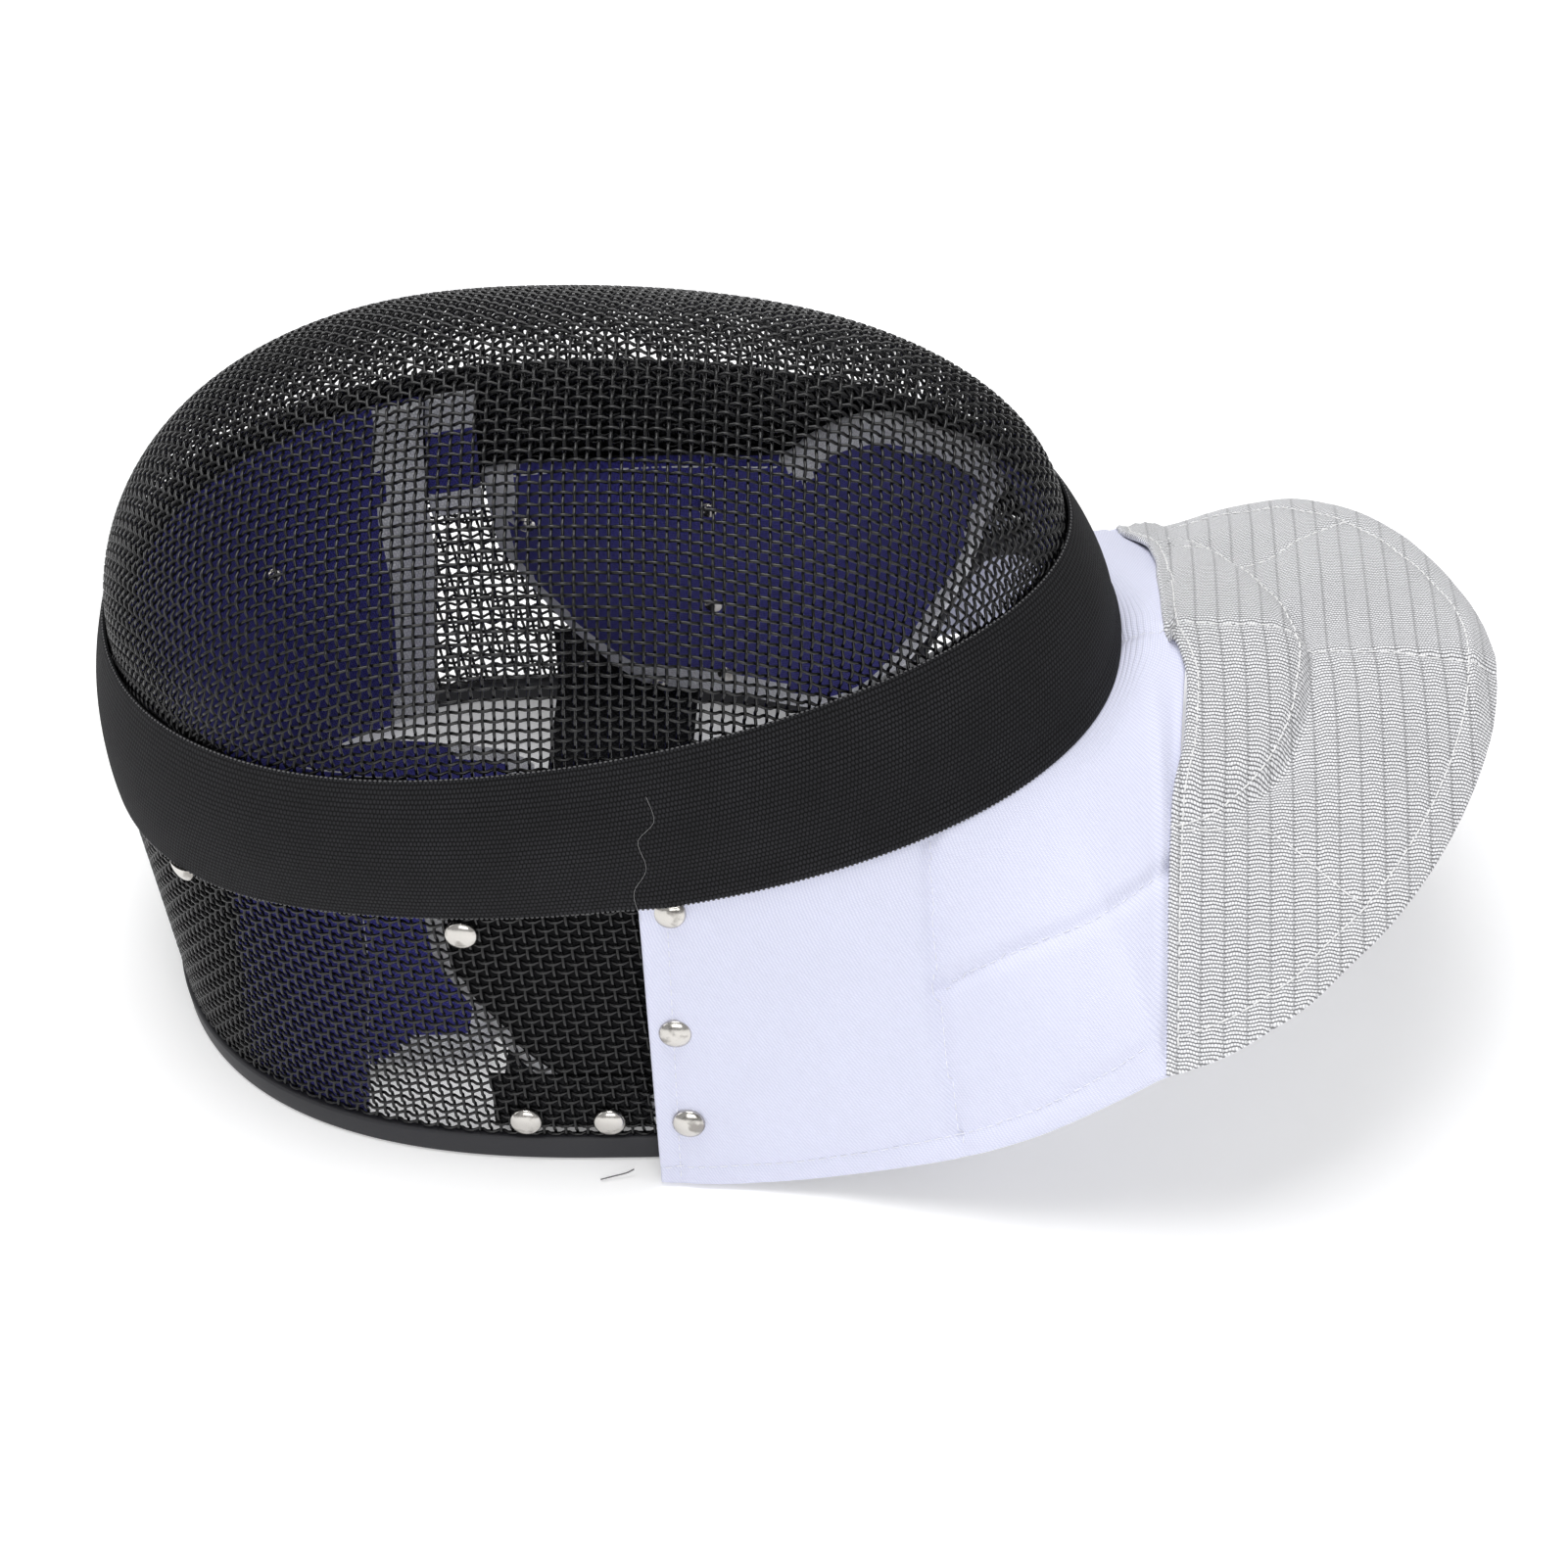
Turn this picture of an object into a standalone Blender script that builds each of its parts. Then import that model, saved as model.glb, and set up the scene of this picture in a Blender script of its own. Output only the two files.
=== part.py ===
"""Foil fencing mask lying face up on its rear rim.

Frame: +Z is the way the wearer faces, +X the chin and bib, -Y the wearer's right side, and z = 0
the surface that the mask lies on.  The shape is worked out about the middle of the wire cage, in
millimetres, and an empty carries every piece so that the origin is under the middle of the whole.
"""
import math
from collections import namedtuple

import bmesh
import bpy
from mathutils import Vector

MM = 0.001
GAP = 0.3                     # air between two pieces that touch

# ---------------------------------------------------------------- wire cage
# One row for each level of the cage wall, from the rear rim to the top of the band.
Ring = namedtuple("Ring", "mid_x half_long half_wide chin_taper square height slope dish")
RINGS = (
    Ring(12.5, 142.8, 99.5, 0.123, 2.34, 0.0, 0.000, 0.0),       # level 0: rear rim
    Ring(2.1, 144.1, 94.2, 0.106, 2.29, 94.8, 0.114, 1.6),       # level 1: lower edge of the band
    Ring(-3.5, 136.2, 88.2, 0.190, 2.10, 142.2, 0.105, 1.0),     # level 2: upper edge of the band
)
BAND_SWELL = 2.65             # how far the joint of the two meshes stands out under the band
DOME_HEIGHT = 78.0
DOME_LEAN = -9.3              # the dome's top lies this far towards the crown
DOME_POWER_SIDE = 1.68        # roundness across the face: under 2 leaves a soft ridge
DOME_POWER_LONG = 1.99        # roundness along the face
STATIONS = 60                 # points round each ring
WIRE_SHELL = 2.0              # two crossing 1 mm wires
JOINT_LEVEL = 1.5             # the two meshes meet here, under the band
LEVEL_RISE = 95.0             # height of one level, rim to band
BAND_RISE = 47.0              # height of the band
TOP_LEVEL = 2.97              # highest level at which the dome has a slope to read
LEVEL_STEP = 0.02             # steps at which the cage's slope is read
ANGLE_STEP = 1.0

# Lower edge of the wall: level 0 all round but for the neck cut-out at the chin.
Edge = namedtuple("Edge", "angle level")
NECK_EDGE = (
    Edge(0.0, 0.90), Edge(36.0, 0.89), Edge(44.0, 0.83), Edge(50.0, 0.68), Edge(56.0, 0.45),
    Edge(62.0, 0.20), Edge(67.0, 0.06), Edge(72.0, 0.0), Edge(180.0, 0.0),
)

BAND_THICK = 1.2
TRIM_HEIGHT = 8.0
TRIM_OUT = 0.9                # the trim's outer face stands this far outside the wires
TRIM_IN = -2.6                # and its inner face this far inside

# ---------------------------------------------------------------- bib
BIB_THICK = 2.2
BIB_TOP_LEVEL = 0.993
SEAM_X = 163.0                # seam between the white panels and the silver part
ARCH_POWER = 1.3              # how the bib falls from its middle to its hem
TUCK_DEPTH = 3.5
TUCK_WIDTH = 8.0

# White panels, one row for each fold line from the rear edge to the middle of the throat: the
# angle where it leaves the band, and where it ends on the hem or on the seam.
Panel = namedtuple("Panel", "angle x y z swell")
PANELS = (
    Panel(85.6, 21.0, 110.5, 0.6, 1.0),
    Panel(78.0, 38.0, 111.0, 1.2, 1.5),
    Panel(68.0, 64.0, 112.0, 5.5, 2.5),
    Panel(60.0, 86.0, 114.5, 13.0, 4.0),
    Panel(52.5, 106.5, 117.0, 21.5, 3.5),
    Panel(46.0, 130.0, 119.0, 34.5, 6.0),
    Panel(39.0, 150.0, 118.5, 48.0, 7.0),
    Panel(32.0, SEAM_X, 118.0, 58.0, 7.0),
    Panel(23.5, SEAM_X, 92.0, None, 6.0),
    Panel(15.5, SEAM_X, 62.0, None, 5.0),
    Panel(7.5, SEAM_X, 31.0, None, 4.0),
    Panel(0.0, SEAM_X, 0.0, None, 3.0),
)
PANEL_STEPS = 8
PANEL_BEND = 0.55             # a fold line bends most this share of the way up

# Silver part, one row for each section across it, from the seam to the tip.
Section = namedtuple("Section", "x half_wide middle_z hem_z")
SECTIONS = (
    Section(SEAM_X, 118.0, 121.0, 58.0),
    Section(171.0, 117.6, 120.4, 61.5),
    Section(180.0, 116.3, 118.9, 66.0),
    Section(190.0, 113.2, 116.8, 72.2),
    Section(200.5, 108.8, 115.2, 77.4),
    Section(212.5, 98.6, 115.3, 84.6),
    Section(225.5, 85.4, 114.6, 89.8),
    Section(237.0, 69.2, 113.7, 94.5),
    Section(246.4, 50.6, 113.3, 98.9),
    Section(252.2, 34.5, 113.3, 101.8),
    Section(255.6, 21.0, 113.4, 104.6),
    Section(257.0, 9.0, 113.6, 109.0),
)
SECTION_STEPS = 11            # cells across half of the silver part
TUCK_MIDDLE_X = 201.0         # the tuck crosses the middle here
TUCK_END_X = 168.0            # and ends here, at the sides
TUCK_HALF_WIDE = 64.0

# ---------------------------------------------------------------- lining
PAD_OUT = -2.95               # a pad's outer face, measured from the outside of the wires
Pad = namedtuple("Pad", "angle low high")
CROWN_PAD = tuple(Pad(a, 0.03, 1.95) for a in (118.0, 121.0, 128.0, 136.0, 146.0, 157.0, 168.0)) + (
    Pad(180.0, 0.03, 1.95),)
TEMPLE_PAD = (
    Pad(106.4, 0.96, 1.95), Pad(108.5, 0.95, 1.95), Pad(112.0, 0.95, 1.95), Pad(115.5, 0.95, 1.95),
    Pad(117.5, 0.95, 1.95),
)
CHEEK_PAD = (
    Pad(32.5, 1.62, 1.96), Pad(37.0, 1.28, 1.97), Pad(44.0, 0.92, 1.97), Pad(50.0, 0.76, 1.97),
    Pad(56.0, 0.57, 1.95), Pad(62.0, 0.36, 1.78), Pad(67.0, 0.23, 1.58), Pad(72.0, 0.15, 1.42),
    Pad(77.0, 0.11, 1.40), Pad(82.0, 0.11, 1.40), Pad(88.0, 0.12, 1.40), Pad(94.0, 0.15, 1.40),
    Pad(99.0, 0.26, 1.40), Pad(103.0, 0.44, 1.39), Pad(105.8, 0.62, 1.30),
)
CHIN_PAD = (Pad(0.0, 1.0, 1.95), Pad(10.0, 1.0, 1.95), Pad(20.0, 1.0, 1.95), Pad(27.0, 1.1, 1.94),
            Pad(30.8, 1.35, 1.9))
PAD_STEPS = 6
PAD_THICK = {"crown_pad": 9.0, "temple_pad": 6.0, "cheek_pad": 9.0, "chin_pad": 12.0}
PAD_EDGE = 0.5                # a pad's edge is this share of its full thickness

# Tongue in the rear opening: half width and height of its upper face, one row for each section.
Tongue = namedtuple("Tongue", "x half_wide top")
TONGUE = (
    Tongue(-120.8, 20.0, 12.5), Tongue(-114.0, 38.0, 12.5), Tongue(-102.0, 54.0, 12.0),
    Tongue(-86.0, 60.0, 11.0), Tongue(-62.0, 60.0, 10.0), Tongue(-42.0, 58.0, 9.5),
    Tongue(-31.5, 52.0, 9.0),
)
TONGUE_THICK = 8.0
TONGUE_SIDE = -2.0            # it lies this far towards the wearer's right
TONGUE_DROP = 2.5             # its sides lie this much lower than its middle
TONGUE_CELLS = 10

STRAP_MIDDLE_X = -5.0
STRAP_WIDE = 45.0
STRAP_THICK = 1.5
STRAP_LOW = 2.0               # height of its lower face in the middle
STRAP_RISE = 4.0              # and how much higher its ends are
STRAP_STEPS = 14
STRAP_END_GAP = 1.1           # its ends stop this far inside the trim

# ---------------------------------------------------------------- rivets
RIVET_RADIUS = 4.75
RIVET_DOME = 2.2
RIVET_FLANGE = 0.5            # height of the upright edge of its head
RIVET_SIDES = 12
RIVET_RINGS = 3
SEAT_TRIES = 30               # a rivet's seat is found by this many small turns of its angle,
SEAT_TURN = 0.35              # each this many degrees for a millimetre
RIVET_STAND = 0.35            # its foot's distance from the wires or cloth under its middle
Rivet = namedtuple("Rivet", "name x z on_bib")
RIVETS = (
    Rivet("crown", -114.0, 82.0, False), Rivet("temple", -32.0, 86.5, False),
    Rivet("strap_rear", -17.0, 16.5, False), Rivet("strap_front", 6.0, 16.5, False),
    Rivet("bib_top", 27.0, 95.5, True), Rivet("bib_middle", 27.5, 56.0, True),
    Rivet("bib_bottom", 30.0, 24.5, True),
)

ORIGIN_X = 56.14              # middle of the whole, from the middle of the cage

Finish = namedtuple("Finish", "red green blue rough metal")
FINISHES = {
    "black_wire": Finish(0.03, 0.03, 0.035, 0.45, 0.6),
    "black_elastic": Finish(0.02, 0.02, 0.022, 0.9, 0.0),
    "black_trim": Finish(0.05, 0.05, 0.055, 0.5, 0.0),
    "white_cloth": Finish(0.78, 0.80, 0.90, 0.9, 0.0),
    "silver_cloth": Finish(0.55, 0.56, 0.57, 0.6, 0.3),
    "blue_pad": Finish(0.03, 0.03, 0.16, 0.9, 0.0),
    "nickel": Finish(0.62, 0.60, 0.57, 0.25, 1.0),
}


# ---------------------------------------------------------------- geometry of the cage
def between(low, high, share):
    """Value a share of the way from low to high."""
    return low + (high - low) * share


def signed_power(value, power):
    return math.copysign(abs(value) ** power, value)


def read_table(rows, key, field, at):
    """Straight-line reading of one column of a table against another."""
    for first, second in zip(rows, rows[1:]):
        start, end = getattr(first, key), getattr(second, key)
        if min(start, end) <= at <= max(start, end):
            return between(getattr(first, field), getattr(second, field), (at - start) / (end - start))
    return getattr(rows[-1], field)


def ring_point(angle, level):
    """Point on the outside of the wires, at a level from 0 (rim) to 2 (top of the band)."""
    lower = min(int(level), 1)
    share = level - lower
    ring = Ring(*(between(a, b, share) for a, b in zip(RINGS[lower], RINGS[lower + 1])))
    swell = BAND_SWELL * 4.0 * share * (1.0 - share) if lower == 1 else 0.0
    cos, sin = math.cos(math.radians(angle)), math.sin(math.radians(angle))
    power = 2.0 / ring.square
    x = ring.mid_x + (ring.half_long + swell) * signed_power(cos, power)
    y = (ring.half_wide + swell) * signed_power(sin, power) * (1.0 - ring.chin_taper * cos)
    along = (x - ring.mid_x) / 100.0
    return Vector((x, y, ring.height + ring.slope * x + ring.dish * along * along))


def dome_point(angle, level):
    """Point on the outside of the dome, at a level from 2 (band) to 3 (top)."""
    base = ring_point(angle, 2.0)
    reach = math.cos(math.radians(90.0 * (level - 2.0)))
    cos = math.cos(math.radians(angle))
    power = between(DOME_POWER_SIDE, DOME_POWER_LONG, cos * cos)
    rise = max(0.0, 1.0 - reach ** power) ** (1.0 / power)
    top = RINGS[2]
    x = top.mid_x + DOME_LEAN * rise + (base.x - top.mid_x) * reach
    z = top.height + top.slope * x + (base.z - top.height - top.slope * base.x) * reach
    return Vector((x, base.y * reach, z + DOME_HEIGHT * rise))


def cage_skin(angle, level):
    return ring_point(angle, level) if level <= 2.0 else dome_point(angle, level)


def cage_point(angle, level, out=0.0):
    """Point at a distance outside the wires, along the surface's own normal."""
    point = cage_skin(angle, level)
    if out == 0.0:
        return point
    low, high = max(level - LEVEL_STEP, 0.0), min(level + LEVEL_STEP, TOP_LEVEL)
    at = min(level, TOP_LEVEL)
    around = cage_skin(angle + ANGLE_STEP, at) - cage_skin(angle - ANGLE_STEP, at)
    upward = cage_skin(angle, high) - cage_skin(angle, low)
    return point + around.cross(upward).normalized() * out


def edge_level(angle):
    """Level of the wall's lower edge, at the bottom of the trim."""
    folded = abs((angle + 180.0) % 360.0 - 180.0)
    return read_table(NECK_EDGE, "angle", "level", folded)


def wall_level(x, z, half):
    """Angle and level of the wall's point at a place along the mask and a height."""
    angle, level = 90.0, z / LEVEL_RISE
    for _ in range(SEAT_TRIES):
        point = ring_point(angle, level)
        angle -= (x - point.x) * SEAT_TURN
        level += (z - point.z) / LEVEL_RISE
    return half * angle, level


# ---------------------------------------------------------------- making meshes
def material(name):
    """Principled material for one finish, made once."""
    made = bpy.data.materials.get(name)
    if made:
        return made
    finish = FINISHES[name]
    made = bpy.data.materials.new(name)
    made.use_nodes = True
    shader = made.node_tree.nodes["Principled BSDF"]
    shader.inputs["Base Color"].default_value = (finish.red, finish.green, finish.blue, 1.0)
    shader.inputs["Roughness"].default_value = finish.rough
    shader.inputs["Metallic"].default_value = finish.metal
    return made


def new_object(name, bm, finish, carrier):
    """Object in the mask's collection from a bmesh in millimetres."""
    bmesh.ops.scale(bm, vec=(MM, MM, MM), verts=bm.verts)
    mesh = bpy.data.meshes.new(name)
    bm.to_mesh(mesh)
    bm.free()
    mesh.shade_smooth()
    mesh.set_sharp_from_angle(angle=math.radians(40.0))
    mesh.materials.append(material(finish).copy())
    made = bpy.data.objects.new(name, mesh)
    bpy.data.collections["fencing_mask"].objects.link(made)
    made.parent = carrier
    return made


def grid(rows, around=False, top=None):
    """Bmesh sheet through rows of points; its normal is (along a row) x (row to row)."""
    bm = bmesh.new()
    lines = [[bm.verts.new(point) for point in row] for row in rows]
    count = len(lines[0])
    for low, high in zip(lines, lines[1:]):
        for i in range(count if around else count - 1):
            j = (i + 1) % count
            bm.faces.new((low[i], low[j], high[j], high[i]))
    if top is not None:
        tip = bm.verts.new(top)
        for i in range(count):
            bm.faces.new((lines[-1][i], lines[-1][(i + 1) % count], tip))
    return bm


def thicken(made, thick, side, edge_share=1.0, thin_verts=()):
    """Solidify a sheet: side -1 adds behind its normal, +1 in front; thin_verts stay thinner."""
    solid = made.modifiers.new("wall", "SOLIDIFY")
    solid.thickness = thick * MM
    solid.offset = side
    solid.use_even_offset = True
    solid.use_quality_normals = True
    if thin_verts:
        thin = set(thin_verts)
        group = made.vertex_groups.new(name="full_thickness")
        group.add([v.index for v in made.data.vertices if v.index not in thin], 1.0, "REPLACE")
        solid.vertex_group = group.name
        solid.thickness_vertex_group = edge_share
    return made


def mirror_right(made):
    """Left half from the right one, joined on the middle plane."""
    mirror = made.modifiers.new("left_half", "MIRROR")
    mirror.use_axis = (False, True, False)
    mirror.use_clip = True
    mirror.merge_threshold = 0.00005
    return made


def ring_angles():
    return [360.0 * i / STATIONS for i in range(STATIONS)]


# ---------------------------------------------------------------- sub-parts
def make_front_mesh(carrier):
    levels = [JOINT_LEVEL + 0.5 * GAP / BAND_RISE, 1.75, 2.0] + [2.0 + 0.1 * i for i in range(1, 10)]
    rows = [[cage_point(a, level) for a in ring_angles()] for level in levels]
    made = new_object("front_mesh", grid(rows, True, cage_skin(0.0, 3.0)), "black_wire", carrier)
    thicken(made, WIRE_SHELL, -1)


def make_side_mesh(carrier):
    shares = (0.0, 0.25, 0.5, 0.75)
    rows = []
    for share in shares:
        rows.append([])
        for angle in ring_angles():
            start = edge_level(angle) + (TRIM_HEIGHT + GAP) / LEVEL_RISE
            rows[-1].append(cage_point(angle, between(start, 1.0, share)))
    for level in (1.0, 1.25, JOINT_LEVEL - 0.5 * GAP / BAND_RISE):
        rows.append([cage_point(angle, level) for angle in ring_angles()])
    made = new_object("side_mesh", grid(rows, True), "black_wire", carrier)
    thicken(made, WIRE_SHELL, -1)


def make_trim_band(carrier):
    levels = (1.0, 1.25, JOINT_LEVEL, 1.75, 2.0)
    rows = [[cage_point(a, level, GAP) for a in ring_angles()] for level in levels]
    thicken(new_object("trim_band", grid(rows, True), "black_elastic", carrier), BAND_THICK, 1)


def trim_corner(angle, rise, out):
    """Corner of the rim trim: rise above the wall's edge, out sideways from the wires."""
    level = edge_level(angle)
    point = cage_skin(angle, level + rise / LEVEL_RISE)
    around = cage_skin(angle + ANGLE_STEP, level) - cage_skin(angle - ANGLE_STEP, level)
    return point + Vector((around.y, -around.x, 0.0)).normalized() * out


def make_rim_trim(carrier):
    corners = ((0.0, TRIM_IN), (0.0, TRIM_OUT), (TRIM_HEIGHT, TRIM_OUT), (TRIM_HEIGHT, TRIM_IN))
    rows = [[trim_corner(a, rise, out) for a in ring_angles()] for rise, out in corners]
    rows.append(rows[0])
    bm = grid(rows, True)
    bmesh.ops.remove_doubles(bm, verts=bm.verts, dist=0.001)
    new_object("rim_trim", bm, "black_trim", carrier)


def arch_height(y, half_wide, middle_z, hem_z):
    return middle_z - (middle_z - hem_z) * (abs(y) / half_wide) ** ARCH_POWER


def panel_line(panel):
    """Fold line of the white panels, from its lower end up to the band."""
    top = cage_point(-panel.angle, BIB_TOP_LEVEL, GAP + BAND_THICK)
    z = panel.z
    if z is None:
        seam = SECTIONS[0]
        z = arch_height(panel.y, seam.half_wide, seam.middle_z, seam.hem_z)
    low = Vector((panel.x - (GAP if panel.x == SEAM_X else 0.0), -panel.y, z))
    outward = cage_point(-panel.angle, 0.5, 1.0) - cage_point(-panel.angle, 0.5)
    outward = (outward + Vector((0.0, 0.0, 1.0)) * (panel.x / SEAM_X) ** 2).normalized()
    middle = between(low, top, PANEL_BEND) + outward * panel.swell
    points = []
    for i in range(PANEL_STEPS + 1):
        t = i / PANEL_STEPS
        points.append(low * (1 - t) ** 2 + middle * 2 * t * (1 - t) + top * t * t)
    return points


def make_bib_upper(carrier):
    lines = [panel_line(panel) for panel in PANELS]
    for point in lines[-1]:
        point.y = 0.0
    rows = [[line[i] for line in lines] for i in range(PANEL_STEPS + 1)]
    made = new_object("bib_upper", grid(rows), "white_cloth", carrier)
    mirror_right(made)
    first_top = PANEL_STEPS * len(PANELS)
    top_row = range(first_top, first_top + len(PANELS))
    thicken(made, BIB_THICK, -1, BAND_THICK / BIB_THICK, top_row)


def tuck_drop(x, y):
    """Depth of the curved tuck, which runs from side to side round the throat."""
    share = min(abs(y) / TUCK_HALF_WIDE, 1.0)
    line_x = TUCK_END_X + (TUCK_MIDDLE_X - TUCK_END_X) * math.sqrt(1.0 - share ** 2.2)
    fade = 1.0 - share ** 4
    return TUCK_DEPTH * fade * math.exp(-((x - line_x) / TUCK_WIDTH) ** 2)


def make_bib_lower(carrier):
    rows = []
    for number, section in enumerate(SECTIONS):
        rows.append([])
        for i in range(SECTION_STEPS + 1):
            y = -section.half_wide * (1.0 - i / SECTION_STEPS)
            z = arch_height(y, section.half_wide, section.middle_z, section.hem_z)
            x = section.x + (GAP if number == 0 else 0.0)
            rows[-1].append(Vector((x, y, z - tuck_drop(x, y))))
    bm = grid(rows)
    bmesh.ops.reverse_faces(bm, faces=bm.faces)
    made = mirror_right(new_object("bib_lower", bm, "silver_cloth", carrier))
    thicken(made, BIB_THICK, -1)


def pad_rows(table, side):
    """Rows of points over a pad's outer face, low to high, on one side of the mask."""
    rows = []
    for step in range(PAD_STEPS + 1):
        share = step / PAD_STEPS
        rows.append([cage_point(side * pad.angle, between(pad.low, pad.high, share), PAD_OUT)
                     for pad in table])
    return rows


def make_pad(name, kind, table, side, whole, carrier):
    """Pad on the inside of the wall; a whole one is mirrored on the middle plane."""
    rows = pad_rows(table, side)
    count = len(table)
    bm = grid(rows)
    if side < 0:
        bmesh.ops.reverse_faces(bm, faces=bm.faces)
    middle = {i for i, pad in enumerate(table) if pad.angle in (0.0, 180.0)} if whole else set()
    for vert in bm.verts:
        if vert.index % count in middle:
            vert.co.y = 0.0
    edge = []
    for row in range(PAD_STEPS + 1):
        for column in range(count):
            outer = row in (0, PAD_STEPS) or column in (0, count - 1)
            only_seam = column in middle and row not in (0, PAD_STEPS)
            if outer and not only_seam:
                edge.append(row * count + column)
    made = new_object(name, bm, "blue_pad", carrier)
    if whole:
        mirror_right(made)
    thicken(made, PAD_THICK[kind], -1, PAD_EDGE, edge)


def make_lining(carrier):
    make_pad("crown_pad", "crown_pad", CROWN_PAD, -1, True, carrier)
    make_pad("chin_pad", "chin_pad", CHIN_PAD, -1, True, carrier)
    for side, word in ((-1, "right"), (1, "left")):
        make_pad("temple_pad_" + word, "temple_pad", TEMPLE_PAD, side, False, carrier)
        make_pad("cheek_pad_" + word, "cheek_pad", CHEEK_PAD, side, False, carrier)


def make_back_tongue(carrier):
    rows = []
    for section in TONGUE:
        rows.append([])
        for i in range(TONGUE_CELLS + 1):
            across = 2.0 * i / TONGUE_CELLS - 1.0
            drop = TONGUE_DROP * across ** 4
            y = TONGUE_SIDE + section.half_wide * across
            rows[-1].append(Vector((section.x, y, section.top - drop)))
    bm = grid(rows)
    bmesh.ops.reverse_faces(bm, faces=bm.faces)
    made = new_object("back_tongue", bm, "blue_pad", carrier)
    count = TONGUE_CELLS + 1
    edge = [r * count + c for r in range(len(TONGUE)) for c in range(count)
            if r in (0, len(TONGUE) - 1) or c in (0, TONGUE_CELLS)]
    thicken(made, TONGUE_THICK, -1, PAD_EDGE, edge)


def make_rear_strap(carrier):
    reach = -cage_point(-90.0, 0.08, TRIM_IN).y - STRAP_END_GAP
    rows = []
    for i in range(STRAP_STEPS + 1):
        y = reach * (2.0 * i / STRAP_STEPS - 1.0)
        z = STRAP_LOW + STRAP_RISE * (y / reach) ** 2
        rows.append([Vector((STRAP_MIDDLE_X + STRAP_WIDE * (k - 0.5), y, z)) for k in (0.0, 0.5, 1.0)])
    made = new_object("rear_strap", grid(rows), "black_elastic", carrier)
    thicken(made, STRAP_THICK, 1)


def between_lines(lines, column, row):
    """Point on the faces between fold lines: column counts lines, row counts steps up them."""
    i = min(max(int(column), 0), len(lines) - 2)
    j = min(max(int(row), 0), PANEL_STEPS - 1)
    low = between(lines[i][j], lines[i + 1][j], column - i)
    high = between(lines[i][j + 1], lines[i + 1][j + 1], column - i)
    return between(low, high, row - j)


def bib_seat(rivet):
    """Point and outward normal under a rivet of the bib, on the right side."""
    lines = [panel_line(panel) for panel in PANELS[:3]]
    wide = lines[1][0].x - lines[0][0].x
    tall = (lines[0][-1].z - lines[0][0].z) / PANEL_STEPS
    column, row = 0.5, 0.5 * PANEL_STEPS
    for _ in range(SEAT_TRIES):
        point = between_lines(lines, column, row)
        column += 0.5 * (rivet.x - point.x) / wide
        row += 0.5 * (rivet.z - point.z) / tall
    reach_x, reach_z = RIVET_RADIUS / wide, RIVET_RADIUS / tall
    around = [between_lines(lines, column + i * reach_x, row + j * reach_z)
              for j in (-1, 0, 1) for i in (-1, 0, 1)]
    normal = (around[5] - around[3]).cross(around[7] - around[1]).normalized()
    lift = max((place - point).dot(normal) for place in around)
    return point + normal * lift, normal


def rivet_seat(rivet, side):
    """Point and outward normal under a rivet's middle."""
    if rivet.on_bib:
        point, normal = bib_seat(rivet)
        point.y *= -side
        normal.y *= -side
        return point, normal
    angle, level = wall_level(rivet.x, rivet.z, side)
    point = cage_point(angle, level)
    return point, (cage_point(angle, level, 1.0) - point).normalized()


def trim_under_band(bm, rivet, side):
    """Leave off the part of a rivet's head that the band's lower edge covers."""
    angle, _ = wall_level(rivet.x, rivet.z, side)
    level = 1.0 - 2.0 * GAP / LEVEL_RISE
    edge = cage_point(angle, level)
    upward = edge - cage_point(angle, level - 0.05)
    along = cage_point(angle + 2.0, level) - cage_point(angle - 2.0, level)
    upward = (upward - along * upward.dot(along) / along.length_squared).normalized()
    cut = bmesh.ops.bisect_plane(bm, geom=bm.verts[:] + bm.edges[:] + bm.faces[:], dist=0.001,
                                 plane_co=edge, plane_no=upward, clear_outer=True)
    rim = [item for item in cut["geom_cut"] if isinstance(item, bmesh.types.BMEdge)]
    if rim:
        bmesh.ops.contextual_create(bm, geom=rim)


def make_rivet(rivet, side, word, carrier):
    """Domed rivet head on the wall or on the bib's side panel."""
    point, normal = rivet_seat(rivet, side)
    turns = [2.0 * math.pi * k / RIVET_SIDES for k in range(RIVET_SIDES)]
    profile = [(RIVET_RADIUS, 0.0)]
    for ring in range(RIVET_RINGS):
        lift = math.radians(90.0 * ring / RIVET_RINGS)
        rise = between(RIVET_FLANGE, RIVET_DOME, math.sin(lift))
        profile.append((RIVET_RADIUS * math.cos(lift), rise))
    rows = [[Vector((radius * math.cos(a), radius * math.sin(a), z)) for a in turns]
            for radius, z in profile]
    bm = grid(rows, True, Vector((0.0, 0.0, RIVET_DOME)))
    bm.faces.new(list(reversed(bm.verts[:RIVET_SIDES])))
    turn = normal.to_track_quat("Z", "Y").to_matrix().to_4x4()
    turn.translation = point + normal * RIVET_STAND
    bmesh.ops.transform(bm, matrix=turn, verts=bm.verts)
    trim_under_band(bm, rivet, side)
    new_object("rivet_" + rivet.name + "_" + word, bm, "nickel", carrier)


def main():
    for old in list(bpy.data.objects):
        bpy.data.objects.remove(old)
    collection = bpy.data.collections.new("fencing_mask")
    bpy.context.scene.collection.children.link(collection)
    carrier = bpy.data.objects.new("mask_frame", None)
    collection.objects.link(carrier)
    carrier.location = (-ORIGIN_X * MM, 0.0, 0.0)
    make_front_mesh(carrier)
    make_side_mesh(carrier)
    make_trim_band(carrier)
    make_rim_trim(carrier)
    make_bib_upper(carrier)
    make_bib_lower(carrier)
    make_lining(carrier)
    make_back_tongue(carrier)
    make_rear_strap(carrier)
    for rivet in RIVETS:
        for side, word in ((-1, "right"), (1, "left")):
            make_rivet(rivet, side, word, carrier)


main()
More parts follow.
